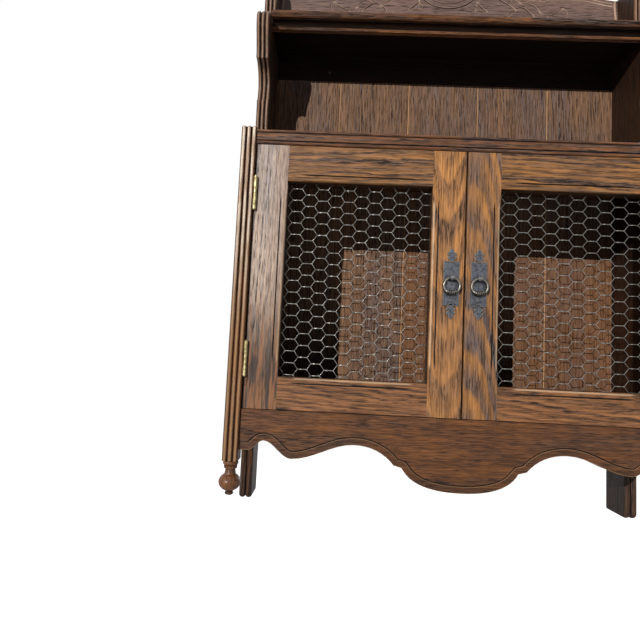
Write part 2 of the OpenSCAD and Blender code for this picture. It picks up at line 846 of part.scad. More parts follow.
// Countersunk hole through a leaf, widest at x, for a screw that runs to the side given
module screw_hole(x, z, side) {
    translate([x, screw_y, z])
        rotate([0, side * 90, 0]) {
            translate([0, 0, -eps]) cylinder(h = eps, r = screw_head_r + fit_gap / 2);
            cylinder(h = leaf_t + 0.01, r1 = screw_head_r + fit_gap / 2,
                r2 = hinge_screw_r + fit_gap / 2);
        }
}

module screw(x, z, side) {
    translate([x, screw_y, z])
        rotate([0, side * 90, 0]) {
            cylinder(h = leaf_t, r1 = screw_head_r, r2 = hinge_screw_r);
            cylinder(h = hinge_screw_l - leaf_in, r = hinge_screw_r);
        }
}

module case_hinge_leaves() {
    x = -half_in - leaf_in;
    color(brass)
        for (z = hinge_heights)
            difference() {
                union() {
                    block(x, x + leaf_t, leaf_front, leaf_back, z - hinge_h / 2,
                        z + hinge_h / 2);
                    for (z0 = [z - hinge_h / 2, z + hinge_h / 2 - knuckle_h]) {
                        block(x, x + leaf_t, axis_y, leaf_front + eps, z0, z0 + knuckle_h);
                        knuckle(z0);
                    }
                }
                pin_bore(z);
                for (dz = [-screw_dz, screw_dz])
                    screw_hole(x + leaf_t, z + dz, -1);
            }
}

module door_hinge_leaves() {
    x = door_x0 + leaf_in;
    color(brass)
        for (z = hinge_heights)
            difference() {
                union() {
                    block(x - leaf_t, x, leaf_front, leaf_back, z - hinge_h / 2,
                        z + hinge_h / 2);
                    block(x - leaf_t, x, axis_y, leaf_front + eps, z - knuckle_h / 2,
                        z + knuckle_h / 2);
                    knuckle(z - knuckle_h / 2);
                }
                pin_bore(z);
                for (dz = [-screw_dz, screw_dz])
                    screw_hole(x - leaf_t, z + dz, 1);
            }
}

module case_hinge_screws() {
    color(brass)
        for (z = hinge_heights, dz = [-screw_dz, screw_dz])
            screw(-half_in - leaf_in + leaf_t, z + dz, -1);
}

module door_hinge_screws() {
    color(brass)
        for (z = hinge_heights, dz = [-screw_dz, screw_dz])
            screw(door_x0 + leaf_in - leaf_t, z + dz, 1);
}

// Hinge pins, each with a round head on both ends of its barrel
module hinge_pins() {
    head_r = barrel_r * 0.85;
    color(brass)
        for (z = hinge_heights)
            translate([axis_x, axis_y, z]) {
                cylinder(h = hinge_h, r = pin_r, center = true);
                for (flip = [0, 1])
                    mirror([0, 0, flip])
                        translate([0, 0, hinge_h / 2])
                            rotate_extrude()
                                polygon(concat([[0, 0]], arc([0, 0], head_r, head_r * 0.8,
                                    0, 90, 6)));
            }
}

// Leaf finial of a handle plate, growing upwards from the origin
module plate_leaf_shape() {
    lobe_r = 2.1;
    polygon([[-2.6, -1], [2.6, -1], [3.4, plate_leaf * 0.3], [3.2, plate_leaf * 0.72],
        [0, plate_leaf], [-3.2, plate_leaf * 0.72], [-3.4, plate_leaf * 0.3]]);
    translate([0, plate_leaf * 0.72]) circle(3.3);
    for (side = [-1, 1], z = [0.24, 0.53])
        translate([side * 4.2, plate_leaf * z]) circle(lobe_r);
}

module handle_plate() {
    slot_h = 1.2;
    color(iron)
        difference() {
            translate([-pull_x, 0, plate_z])
                along_y(plate_y, plate_t)
                    difference() {
                        union() {
                            square([plate_w, plate_h], center = true);
                            for (flip = [0, 1])
                                mirror([0, flip])
                                    translate([0, plate_h / 2]) plate_leaf_shape();
                        }
                        for (side = [-1, 1])
                            translate([-2.5, side * (plate_h / 2 - 1.4) - slot_h / 2])
                                square([5, slot_h]);
                    }
            rod_y(-pull_x, plate_y - eps, face_y + eps, pivot_z, shank_r + fit_gap / 2);
            rod_y(-pull_x, plate_y - eps, face_y + eps, plate_z - nail_drop,
                nail_r / 2 + fit_gap / 2);
        }
}

// Post with an eye across its end, which carries the drop ring
module ring_post() {
    color(iron)
        difference() {
            union() {
                rod_y(-pull_x, pivot_y, face_y + shank_l, pivot_z, shank_r);
                rod_x(-pull_x - eye_w / 2, -pull_x + eye_w / 2, pivot_y, pivot_z, eye_r);
            }
            rod_x(-pull_x - eye_w, -pull_x + eye_w, pivot_y, pivot_z,
                ring_bar_r + eye_clear);
        }
}

module plate_nail() {
    z = plate_z - nail_drop;
    color(iron)
        translate([-pull_x, plate_y, z])
            rotate([90, 0, 0])
                rotate_extrude()
                    polygon(concat([[0, -nail_l], [nail_r / 2, -nail_l], [nail_r / 2, 0]],
                        arc([0, 0], nail_r, nail_r * 0.6, 0, 90, 6)));
}

// Drop ring with a swollen, ribbed grip at the bottom
module drop_ring() {
    color(iron)
        translate([-pull_x, pivot_y, pivot_z - ring_r])
            rotate([90, 0, 0])
                union() {
                    rotate_extrude() translate([ring_r, 0]) circle(ring_bar_r);
                    rotate([0, 0, 225])
                        rotate_extrude(angle = 90) translate([ring_r, 0]) circle(ring_grip_r - 0.4);
                    for (a = [240:15:300])
                        rotate([0, 0, a - 3])
                            rotate_extrude(angle = 6)
                                translate([ring_r, 0]) circle(ring_grip_r);
                }
}

module strike_plate() {
    color(steel)
        block(-pull_x - catch_w / 2 + 4, -pull_x + catch_w / 2 - 4, door_back,
            door_back + strike_t, door_z1 - catch_h, door_z1 - 1);
}

// Magnetic catch under the ledge, with the two poles towards the door
module door_catch() {
    y = door_back + strike_t + strike_gap;
    color(dark_oak)
        union() {
            block(-pull_x - catch_w / 2, -pull_x + catch_w / 2, y + 1, y + catch_d,
                ledge_z - catch_h, ledge_z);
            for (z = [ledge_z - 0.7 * catch_h, ledge_z - 0.35 * catch_h])
                block(-pull_x - catch_w / 2 + 5, -pull_x + catch_w / 2 - 5, y, y + 1 + eps,
                    z - 1, z + 1);
        }
}

side_panel();  // side_panel_left
right_hand() side_panel();  // side_panel_right
pilaster();  // pilaster_left
right_hand() pilaster();  // pilaster_right
finial();  // finial_left
right_hand() finial();  // finial_right
display_ledge();
cabinet_floor();
apron();
upper_shelf();
shelf_nosing();
crest_panel();
hanging_rail();
back_board(1);  // back_board_1
back_board(2);  // back_board_2
back_board(3);  // back_board_3
back_board(4);  // back_board_4
back_board(5);  // back_board_5
case_hinge_leaves();  // case_hinge_leaves_left
right_hand() case_hinge_leaves();  // case_hinge_leaves_right
case_hinge_screws();  // case_hinge_screws_left
right_hand() case_hinge_screws();  // case_hinge_screws_right
hinge_pins();  // hinge_pins_left
right_hand() hinge_pins();  // hinge_pins_right
door_catch();  // catch_left
right_hand() door_catch();  // catch_right
outer_stile();  // left_outer_stile
inner_stile();  // left_inner_stile
top_rail();  // left_top_rail
bottom_rail();  // left_bottom_rail
wire_net();  // left_wire_net
net_strips();  // left_net_strips
door_hinge_leaves();  // left_hinge_leaves
door_hinge_screws();  // left_hinge_screws
handle_plate();  // left_handle_plate
ring_post();  // left_ring_post
plate_nail();  // left_plate_nail
strike_plate();  // left_strike_plate
drop_ring();  // left_drop_ring
right_hand() outer_stile();  // right_outer_stile
right_hand() inner_stile();  // right_inner_stile
right_hand() top_rail();  // right_top_rail
right_hand() bottom_rail();  // right_bottom_rail
right_hand() wire_net();  // right_wire_net
right_hand() net_strips();  // right_net_strips
right_hand() door_hinge_leaves();  // right_hinge_leaves
right_hand() door_hinge_screws();  // right_hinge_screws
right_hand() handle_plate();  // right_handle_plate
right_hand() ring_post();  // right_ring_post
right_hand() plate_nail();  // right_plate_nail
right_hand() strike_plate();  // right_strike_plate
right_hand() drop_ring();  // right_drop_ring
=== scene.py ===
import json
import math

import bmesh
import bpy
import numpy as np
from mathutils import Matrix, Vector
from mathutils.geometry import delaunay_2d_cdt

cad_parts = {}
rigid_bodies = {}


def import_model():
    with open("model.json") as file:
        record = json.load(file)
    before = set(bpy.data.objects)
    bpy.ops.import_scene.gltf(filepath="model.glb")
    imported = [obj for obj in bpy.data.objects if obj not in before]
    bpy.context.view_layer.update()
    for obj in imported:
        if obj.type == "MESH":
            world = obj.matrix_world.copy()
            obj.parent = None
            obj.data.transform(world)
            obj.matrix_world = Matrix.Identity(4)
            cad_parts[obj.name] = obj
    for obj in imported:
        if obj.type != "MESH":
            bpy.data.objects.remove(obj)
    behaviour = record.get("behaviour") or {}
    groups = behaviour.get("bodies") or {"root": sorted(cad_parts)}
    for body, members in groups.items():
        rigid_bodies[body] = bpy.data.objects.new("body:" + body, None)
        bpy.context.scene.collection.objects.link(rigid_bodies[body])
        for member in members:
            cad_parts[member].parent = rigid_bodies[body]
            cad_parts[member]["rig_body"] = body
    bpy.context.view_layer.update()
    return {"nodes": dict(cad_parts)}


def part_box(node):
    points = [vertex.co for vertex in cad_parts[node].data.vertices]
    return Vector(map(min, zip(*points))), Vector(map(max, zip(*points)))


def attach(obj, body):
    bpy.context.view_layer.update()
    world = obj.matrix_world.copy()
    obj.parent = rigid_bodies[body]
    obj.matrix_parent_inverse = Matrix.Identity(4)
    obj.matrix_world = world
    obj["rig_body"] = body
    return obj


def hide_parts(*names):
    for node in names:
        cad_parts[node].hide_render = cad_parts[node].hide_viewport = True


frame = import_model()
nodes = frame["nodes"]
MM = 0.001
SIDES = ("left", "right")
NEAR = 0.02 * MM

# Camera, from the straight edges of the cabinet in the photograph. Its angles are in radians
FOCAL_PX = 490
FRAME_PX = 640
SENSOR_MM = 36
CAMERA_AT = (-0.1776, -0.8554, -0.5096)
YAW, PITCH, ROLL = 0.0256, 0.0767, -0.0475


def add_object(name, data):
    made = bpy.data.objects.new(name, data)
    bpy.context.scene.collection.objects.link(made)
    return made


def set_camera():
    data = bpy.data.cameras.new("camera")
    data.sensor_width = SENSOR_MM
    data.lens = SENSOR_MM * FOCAL_PX / FRAME_PX
    camera = add_object("camera", data)
    camera.matrix_world = (Matrix.Translation(CAMERA_AT) @ Matrix.Rotation(YAW, 4, "Z")
                           @ Matrix.Rotation(PITCH, 4, "X") @ Matrix.Rotation(ROLL, 4, "Y")
                           @ Matrix.Rotation(math.radians(90), 4, "X"))
    bpy.context.scene.camera = camera


# Planes of the solids that the pieces below are made to
DOOR_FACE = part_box("left_outer_stile")[0].y
PILASTER_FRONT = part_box("pilaster_left")[0].y
LEDGE_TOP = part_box("display_ledge")[1].z
CREST_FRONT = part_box("crest_panel")[0].y
SHELF_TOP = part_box("upper_shelf")[1].z


def opening(side):
    """Left, right, bottom and top edge of a door's opening."""
    stiles = sorted((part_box(f"{side}_{part}_stile") for part in ("outer", "inner")),
                    key=lambda box: box[0].x)
    return (stiles[0][1].x, stiles[1][0].x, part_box(side + "_bottom_rail")[1].z,
            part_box(side + "_top_rail")[0].z)


# Materials
class Value:
    """A number that varies over a surface. Sums on it add Math nodes to its tree."""

    def __init__(self, nodes, socket):
        self.nodes = nodes
        self.socket = socket

    def math(self, operation, *terms):
        return self.nodes.node("Math", {"operation": operation}, dict(enumerate(terms)))

    def __add__(self, other):
        return self.math("ADD", self, other)

    def __radd__(self, other):
        return self.math("ADD", other, self)

    def __sub__(self, other):
        return self.math("SUBTRACT", self, other)

    def __rsub__(self, other):
        return self.math("SUBTRACT", other, self)

    def __mul__(self, other):
        return self.math("MULTIPLY", self, other)

    def __rmul__(self, other):
        return self.math("MULTIPLY", other, self)

    def __truediv__(self, other):
        return self.math("DIVIDE", self, other)

    def __pow__(self, other):
        return self.math("POWER", self, other)

    def __abs__(self):
        return self.math("ABSOLUTE", self)

    def fraction(self):
        return self.math("FRACT", self)

    def whole(self):
        return self.math("FLOOR", self)

    def cosine(self):
        return self.math("COSINE", self)

    def step(self, low, high):
        """Rises smoothly from 0 at low to 1 at high."""
        return self.nodes.node("MapRange", {"interpolation_type": "SMOOTHSTEP"},
                               {"Value": self, "From Min": low, "From Max": high})

    def fall(self, low, high):
        """Falls smoothly from 1 at low to 0 at high."""
        return 1.0 - self.step(low, high)

    def band(self, rise, fall):
        """Is 1 between the pair of limits rise and the pair fall, and 0 outside them."""
        return self.step(*rise) * self.fall(*fall)


class Nodes:
    """A tree of shader nodes, and how values reach their sockets."""

    def __init__(self, tree):
        self.tree = tree

    def feed(self, socket, value):
        if isinstance(value, Value):
            self.tree.links.new(value.socket, socket)
        else:
            socket.default_value = value

    def node(self, kind, settings=None, inputs=None, out=0):
        """Adds a node, sets it up, feeds its sockets and gives one of its outputs."""
        made = self.tree.nodes.new("ShaderNode" + kind)
        for key, value in (settings or {}).items():
            setattr(made, key, value)
        for key, value in (inputs or {}).items():
            self.feed(made.inputs[key], value)
        return Value(self, made.outputs[out])

    def mix(self, a, b, share):
        return self.node("Mix", {"data_type": "RGBA"}, {0: share, 6: a, 7: b}, out=2)


class Finish(Nodes):
    """One material, and the nodes that make it."""

    def __init__(self, name, **constants):
        self.material = bpy.data.materials.new(name)
        self.material.use_nodes = True
        super().__init__(self.material.node_tree)
        self.shader = self.tree.nodes["Principled BSDF"]
        for socket, value in constants.items():
            self.shader.inputs[socket.replace("_", " ")].default_value = value

    def place(self):
        """The point on the object, in metres in the shared frame."""
        return self.node("TexCoord", out=3)

    def xyz(self):
        place = self.place()
        return [self.node("SeparateXYZ", inputs={0: place}, out=i) for i in range(3)]

    def point(self, x, y, z):
        return self.node("CombineXYZ", inputs={0: x, 1: y, 2: z})

    def noise(self, point, scale, detail=2.0, roughness=0.5):
        return self.node("TexNoise", inputs={"Vector": point, "Scale": scale, "Detail": detail,
                                             "Roughness": roughness})

    def surface(self, colour, roughness, height, depth, strength):
        """Feeds the shader. Height is a relief from 0 to 1, and depth is its size in metres."""
        self.feed(self.shader.inputs["Base Color"], colour)
        self.feed(self.shader.inputs["Roughness"], roughness)
        bump = self.node("Bump", inputs={"Height": height, "Distance": depth,
                                         "Strength": strength})
        self.feed(self.shader.inputs["Normal"], bump)


def rgb(red, green, blue):
    """A colour given in sRGB from 0 to 255, as the shader takes it."""
    def linear(c):
        c /= 255
        return c / 12.92 if c <= 0.04045 else ((c + 0.055) / 1.055) ** 2.4
    return (linear(red), linear(green), linear(blue), 1.0)


def distance(a, b, centre):
    """Distance from a centre, measured along two axes."""
    return ((a - centre[0]) ** 2.0 + (b - centre[1]) ** 2.0) ** 0.5


# Tones of the stained oak: latewood, earlywood, grey bloom and open pores
DOOR_TONES = (rgb(186, 128, 72), rgb(58, 38, 26), rgb(108, 98, 96), rgb(20, 13, 10))
RAIL_TONES = (rgb(166, 112, 70), rgb(60, 40, 28), rgb(104, 90, 84), rgb(20, 13, 10))
# Pale grey tones that paint a sheen of reflected light onto one stile
PAINTED_SHEEN_TONES = (rgb(228, 199, 174), rgb(90, 70, 58), rgb(156, 151, 154), rgb(40, 30, 26))
LIT_TONES = (rgb(210, 144, 80), rgb(56, 36, 24), rgb(118, 98, 86), rgb(20, 13, 10))
CREST_TONES = (rgb(138, 108, 95), rgb(62, 46, 38), rgb(122, 108, 104), rgb(24, 16, 12))
CASE_TONES = (rgb(128, 80, 44), rgb(38, 25, 18), rgb(78, 66, 60), rgb(18, 12, 9))
TRIM_TONES = (rgb(148, 96, 60), rgb(44, 30, 22), rgb(94, 81, 75), rgb(18, 12, 9))
# A darker copy of the case tones, painted shade for pieces inside the cabinet
SHADE_DARKENED_TONES = (rgb(76, 50, 32), rgb(30, 20, 15), rgb(50, 42, 38), rgb(14, 10, 8))
BACK_TONES = (rgb(148, 109, 78), rgb(60, 43, 32), rgb(106, 101, 104), rgb(34, 24, 18))
TURNED_TONES = (rgb(142, 90, 50), rgb(62, 38, 24), rgb(84, 62, 48), rgb(26, 17, 12))
# Near black painted into grooves, quirks, cuts and gaps as painted shade
PAINTED_SHADE = rgb(18, 12, 10)
# Pale worn wood, also used as painted highlight on lit lips, joint edges and crests
WEAR_AND_HIGHLIGHT = rgb(206, 160, 112)

# Patterns in the oak: how far each is drawn out along the grain, its scale, detail and roughness
GRAIN = {"wander": (0.14, 30.0, 3.0, 0.5), "ripple": (0.24, 120.0, 2.0, 0.5),
         "fibre": (0.04, 520.0, 3.0, 0.75), "streak": (0.06, 150.0, 2.0, 0.5),
         "torn": (0.06, 760.0, 2.0, 0.6), "cloud": (0.3, 16.0, 3.0, 0.5)}
WANDER_BY = 14 * MM
RIPPLE_BY = 6 * MM
GRAIN_DEPTH = 0.4 * MM
SEED_SHIFT = 0.37


def oak(name, grain, seed, tones=CASE_TONES, ring=5 * MM, pith=(0.0, 0.045), slope=0.05,
        gloss=0.0, sheen=0.2, bloom=0.5, bands=0.3, wave=1.0, fine=0.46, age=None):
    """Flat-sawn oak. Grain names the axes across the board, through it and along it. Bands and
    fine are how far the rings and the fibres show, and wave how far the rings waver. Age may
    change the colour by place."""
    light, dark, grey, pore_tone = tones
    finish = Finish(name, Coat_Weight=gloss, Coat_Roughness=0.25, Specular_IOR_Level=sheen)
    place = finish.xyz()
    axes = dict(zip("xyz", place))
    across, deep, along = (axes[c] for c in grain)
    shift = SEED_SHIFT * seed

    def pattern(kind):
        share, scale, detail, rough = GRAIN[kind]
        drawn_out = finish.point(across + shift, deep + 0.6 * shift, along * share + shift)
        return finish.noise(drawn_out, scale, detail, rough)

    wander = (pattern("wander") - 0.5) * (WANDER_BY * wave)
    ripple = (pattern("ripple") - 0.5) * (RIPPLE_BY * wave)
    rings = (distance(across, deep, pith) + along * slope + wander + ripple) / ring
    phase = rings.fraction()
    year = finish.node("TexWhiteNoise", {"noise_dimensions": "1D"}, {"W": rings.whole() + seed})
    early = phase.band((0.0, 0.2), (0.3, 0.95)) * (0.35 + 0.8 * year)
    fibre = pattern("fibre").step(0.43, 0.57)
    streak = pattern("streak").step(0.38, 0.62)
    pores = pattern("torn").step(0.51, 0.58) * (0.4 + 0.6 * early)
    cloud = pattern("cloud").step(0.42, 0.62)
    shade = early * bands + (1.0 - fibre) * fine + streak * 0.2 + cloud * 0.1
    colour = finish.mix(light, dark, shade)
    colour = finish.mix(colour, grey, (early * 0.8 + cloud * 0.5) * bloom * (0.35 + 0.65 * fibre))
    colour = finish.mix(colour, pore_tone, pores * 0.85)
    if age:
        colour = age(finish, place, colour)
    roughness = 0.36 + fibre * 0.12 + early * 0.1 + pores * 0.2
    height = 1.0 - pores * 0.7 - early * 0.25 + fibre * 0.25
    finish.surface(colour, roughness, height, GRAIN_DEPTH, 0.7)
    return finish.material


def metal(name, bright, dull, rough, grain, depth=0.03 * MM, age=None):
    """Metal in bright and dull patches. Rough gives the roughness of each, and grain how fine
    they are."""
    finish = Finish(name, Metallic=1.0)
    point = finish.place()
    patches = finish.noise(point, grain, 4.0, 0.6).step(0.35, 0.65)
    fine = finish.noise(point, grain * 9, 2.0)
    colour = finish.mix(bright, dull, patches)
    if age:
        colour = age(finish, finish.xyz(), colour)
    finish.surface(colour, rough[0] + patches * (rough[1] - rough[0]),
                   patches * 0.5 + fine * 0.5, depth, 0.5)
    return finish.material


WIRE = metal("galvanised wire", rgb(168, 165, 158), rgb(116, 113, 107), (0.4, 0.6), 300.0)
ZINC = metal("zinc plate", rgb(190, 190, 188), rgb(150, 150, 150), (0.35, 0.5), 120.0)
PLATE_IRON = (rgb(122, 126, 134), rgb(76, 78, 84))
RING_IRON = (rgb(98, 95, 90), rgb(54, 52, 49))
RIBS_ROUND = 24


def dark_iron(name, plane, rise, ribs=None):
    """Cast iron, rubbed bright where it stands proud of a plane. Ribs gives the centre of a
    ribbed ring, which keeps its dark tone between the ribs."""
    def rub(finish, place, colour):
        proud = (plane - place[1]).step(0.0, rise)
        if ribs:
            turn = finish.node("Math", {"operation": "ARCTAN2"},
                               {0: place[0] - ribs[0], 1: ribs[1] - place[2]})
            between = (0.5 - 0.5 * (turn * RIBS_ROUND).cosine()) * abs(turn).fall(0.5, 0.9)
            proud = proud * (1.0 - between * 0.9)
            colour = finish.mix(colour, rgb(20, 20, 20), between * 0.7)
        colour = finish.mix(colour, rgb(38, 38, 40), (1.0 - proud) * 0.4)
        return finish.mix(colour, rgb(150, 143, 130), proud * 0.35)

    bright, dull = RING_IRON if ribs else PLATE_IRON
    return metal(name, bright, dull, (0.34, 0.55), 300.0, 0.05 * MM, rub)


def upright_axis(node):
    """Where the upright middle line of a round solid stands."""
    low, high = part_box(node)
    return ((low.x + high.x) / 2, (low.y + high.y) / 2)


def hinge_brass(side):
    """Brass, bright on the barrels, with painted shade on the leaves in the gap beside the door."""
    axis = upright_axis("hinge_pins_" + side)

    def leaves_shaded(finish, place, colour):
        reach = distance(place[0], place[1], axis)
        # Painted shade on the leaves, away from the barrel
        return finish.mix(colour, rgb(44, 34, 22), reach.step(2.3 * MM, 2.6 * MM))

    return metal("tarnished brass " + side, rgb(184, 172, 128), rgb(128, 114, 78), (0.42, 0.6),
                 240.0, 0.02 * MM, leaves_shaded)


def plain_brown():
    finish = Finish("brown plastic")
    fine = finish.noise(finish.place(), 900.0, 3.0)
    colour = finish.mix(rgb(64, 44, 32), rgb(52, 36, 26), fine)
    finish.surface(colour, 0.5 + fine * 0.1, fine, 0.1 * MM, 0.3)
    return finish.material


# Work on meshes
MERGE_GAP = 0.004 * MM
FLAT_BELOW = math.radians(0.6)
SHARP_ABOVE = math.radians(30)
SMOOTH_BELOW = math.radians(36)


def only(piece):
    bpy.ops.object.select_all(action="DESELECT")
    piece.select_set(True)
    bpy.context.view_layer.objects.active = piece


def edit_all(piece, *steps):
    """Works on the whole mesh of a piece. Each step is an operator and its settings."""
    only(piece)
    bpy.ops.object.mode_set(mode="EDIT")
    for operator, settings in steps:
        bpy.ops.mesh.select_all(action="SELECT")
        operator(**settings)
    bpy.ops.object.mode_set(mode="OBJECT")


def bench_copy(node, name):
    """A copy of a solid with its triangles merged and its flat faces joined."""
    piece = add_object(name, nodes[node].data.copy())
    piece.data.materials.clear()
    only(piece)
    bpy.ops.mesh.customdata_custom_splitnormals_clear()
    edit_all(piece, (bpy.ops.mesh.remove_doubles, {"threshold": MERGE_GAP}),
             (bpy.ops.mesh.dissolve_limited, {"angle_limit": FLAT_BELOW}))
    return piece


def cut_at(piece, axis, places):
    """Adds a line of points all round the piece at each place along an axis."""
    normal = [1.0 if i == axis else 0.0 for i in range(3)]
    edit_all(piece, *((bpy.ops.mesh.bisect, {"plane_co": [place * n for n in normal],
                                             "plane_no": normal}) for place in places))


def round_over(piece, width, pick=None, segments=2, least=1.5 * MM):
    """Rounds the outer edges that are longer than least and that the function picks."""
    only(piece)
    bpy.ops.object.mode_set(mode="EDIT")
    bpy.ops.mesh.select_mode(type="EDGE")
    bpy.ops.mesh.select_all(action="DESELECT")
    mesh = bmesh.from_edit_mesh(piece.data)
    for edge in mesh.edges:
        if len(edge.link_faces) == 2 and edge.is_convex and edge.calc_length() > least:
            sharp = edge.calc_face_angle(0) > SHARP_ABOVE
            if sharp and (pick is None or pick(edge.verts[0].co, edge.verts[1].co)):
                edge.select_set(True)
    bmesh.update_edit_mesh(piece.data)
    bpy.ops.mesh.bevel(offset=width, segments=segments, affect="EDGES", clamp_overlap=False)
    bpy.ops.object.mode_set(mode="OBJECT")


def step_in(piece, axis, plane, sign, steps):
    """Insets the faces that lie in a plane. Each step gives the inset, how far its outer line
    sinks and how far the faces inside it sink."""
    only(piece)
    bpy.ops.object.mode_set(mode="EDIT")
    bpy.ops.mesh.select_mode(type="FACE")
    bpy.ops.mesh.select_all(action="DESELECT")
    mesh = bmesh.from_edit_mesh(piece.data)
    for face in mesh.faces:
        flat = all(abs(v.co[axis] - plane) < NEAR for v in face.verts)
        face.select_set(flat and sign * face.normal[axis] > 0.99)
    for inset, outer_sink, inner_sink in steps:
        mesh = bmesh.from_edit_mesh(piece.data)
        line = {tuple(v.co) for f in mesh.faces if f.select for v in f.verts}
        bmesh.update_edit_mesh(piece.data)
        bpy.ops.mesh.inset(thickness=inset, depth=-inner_sink, use_even_offset=False)
        mesh = bmesh.from_edit_mesh(piece.data)
        for vert in mesh.verts:
            if tuple(vert.co) in line:
                vert.co[axis] -= sign * outer_sink
        bmesh.update_edit_mesh(piece.data)
    bpy.ops.object.mode_set(mode="OBJECT")


def runs(axis):
    """Picks the edges that run along an axis."""
    others = [i for i in range(3) if i != axis]
    return lambda a, b: all(abs(a[i] - b[i]) < NEAR for i in others)


def shade(piece):
    """Smooth over the rounded edges, flat over the flat faces."""
    only(piece)
    bpy.ops.object.shade_smooth_by_angle(angle=SMOOTH_BELOW)
    weigh = piece.modifiers.new("flat faces stay flat", "WEIGHTED_NORMAL")
    weigh.keep_sharp = True
    bpy.ops.object.modifier_apply(modifier=weigh.name)


def stand_for(piece, node, material):
    """Puts a piece in the place of its solid, on the same body."""
    piece.data.materials.clear()
    piece.data.materials.append(material)
    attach(piece, nodes[node]["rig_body"])
    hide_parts(node)


def board(node, material, width=0.5 * MM, pick=None, least=12 * MM):
    """A plain board with its long edges eased."""
    piece = bench_copy(node, node + "_board")
    round_over(piece, width, pick, least=least)
    shade(piece)
    stand_for(piece, node, material)


def fitting(node, material, suffix):
    """A copy of a small solid, shaded smooth over its round faces."""
    piece = bench_copy(node, f"{node}_{suffix}")
    shade(piece)
    stand_for(piece, node, material)


# Side panels: the front edge is worked into three round reeds above the ledge and two on the leg
SKIRT_DROP = 32 * MM
REED_SHARES = (0.35, 0.6, 0.8, 0.93)
LEG_REED_DEPTH = 0.8
HOUSING_BAND = 3 * MM
HOUSED = ("cabinet_floor", "display_ledge", "upper_shelf", "hanging_rail")
# Faces this near the wall stay as they are: any face, and a face that looks forward
WALL_STRIP = 4 * MM
FORWARD_STRIP = 35.5 * MM


def reed_depth(x, centres, half):
    """How far the surface lies below the crest of the nearest reed."""
    off = min(min(abs(x - c) for c in centres), half)
    return half - math.sqrt(max(half ** 2 - off ** 2, 0.0))


def cut_reed_lines(piece, reeds):
    """Adds lines of points along the crest and both flanks of every reed."""
    places = set()
    for centres, half in reeds:
        for centre in centres:
            places.add(round(centre, 7))
            for share in REED_SHARES:
                places.update((round(centre - share * half, 7), round(centre + share * half, 7)))
    cut_at(piece, 0, sorted(places))


def outward_moves(mesh, housings):
    """For each point on the worked edge, the normals of the faces that meet there."""
    moves = {}
    for face in mesh.faces:
        normal = face.normal
        centre = face.calc_center_median()
        on_side = abs(normal.x) > 0.01
        at_wall = centre.y > -WALL_STRIP or normal.y > 0.5
        housed = abs(normal.z) > 0.99 and any(abs(centre.z - z) < 0.5 * MM for z in housings)
        rail_step = normal.y < -0.99 and centre.y > -FORWARD_STRIP
        if on_side or at_wall or housed or rail_step:
            continue
        for vert in face.verts:
            moves.setdefault(vert, []).append(normal.copy())
    return moves


def side_panel(side):
    node = "side_panel_" + side
    piece = bench_copy(node, node + "_board")
    low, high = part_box(node)
    width = high.x - low.x
    middle = (low.x + high.x) / 2
    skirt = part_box("cabinet_floor")[0].z - SKIRT_DROP
    upper = ([middle - width / 3, middle, middle + width / 3], width / 6)
    lower = ([middle - width / 4, middle + width / 4], width / 4)
    cut_reed_lines(piece, (upper, lower))
    housings = []
    for housed in HOUSED:
        bottom, top = (corner.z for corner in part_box(housed))
        housings += [bottom, bottom + HOUSING_BAND, top - HOUSING_BAND, top]
    mesh = bmesh.new()
    mesh.from_mesh(piece.data)
    mesh.normal_update()
    for vert, normals in outward_moves(mesh, housings).items():
        outward = sum(normals, Vector((0.0, 0.0, 0.0)))
        if outward.length < 0.1:
            continue
        depth = 0.0
        if vert.co.z > LEDGE_TOP + NEAR:
            depth = reed_depth(vert.co.x, *upper)
        elif vert.co.z < skirt:
            depth = LEG_REED_DEPTH * reed_depth(vert.co.x, *lower)
        vert.co -= outward.normalized() * depth
    mesh.to_mesh(piece.data)
    mesh.free()

    inner_face, inward = (high.x, 1.0) if side == "left" else (low.x, -1.0)

    def reeded(finish, place, colour):
        """Crests pale above, partly wear and partly painted highlight, painted shade in the grooves
        above and below, the leg darker, and painted shade on the inner face.
        """
        above = place[2].step(LEDGE_TOP, LEDGE_TOP + 2 * MM)
        below = place[2].fall(skirt - 2 * MM, skirt)
        off = abs(place[0] - middle)
        # Crests painted pale above, partly wear and partly painted highlight
        crest = abs(off - width / 3).fall(0.5 * MM, 1.5 * MM) + off.fall(0.5 * MM, 1.5 * MM)
        # Painted shade in the grooves
        groove_shade = abs(off - width / 6).fall(0.5 * MM, 1.1 * MM) * above
        groove_shade = groove_shade + off.fall(0.5 * MM, 1.1 * MM) * below
        # Painted shade on the inner face
        shaded_part = ((place[0] - inner_face) * inward).step(-0.8 * MM, -0.3 * MM)
        colour = finish.mix(colour, rgb(32, 25, 19), below * 0.45)
        colour = finish.mix(colour, rgb(232, 200, 172), crest * above * 0.3)
        colour = finish.mix(colour, PAINTED_SHADE, groove_shade * 0.95)
        return finish.mix(colour, rgb(24, 17, 14), shaded_part * 0.75)

    shade(piece)
    stand_for(piece, node, oak("side panel oak " + side, "yxz", 3 + len(side), age=reeded,
                               bands=0.35, pith=(-95 * MM, middle + 60 * MM)))


# Pilasters: three reeds, rounded over at the top
# Heights over which the painted highlight on the crests and the painted shade in the valleys grow
# towards the top
HIGHLIGHT_FROM = (-0.52, -0.2)
DARK_FROM = (-0.5, -0.2)


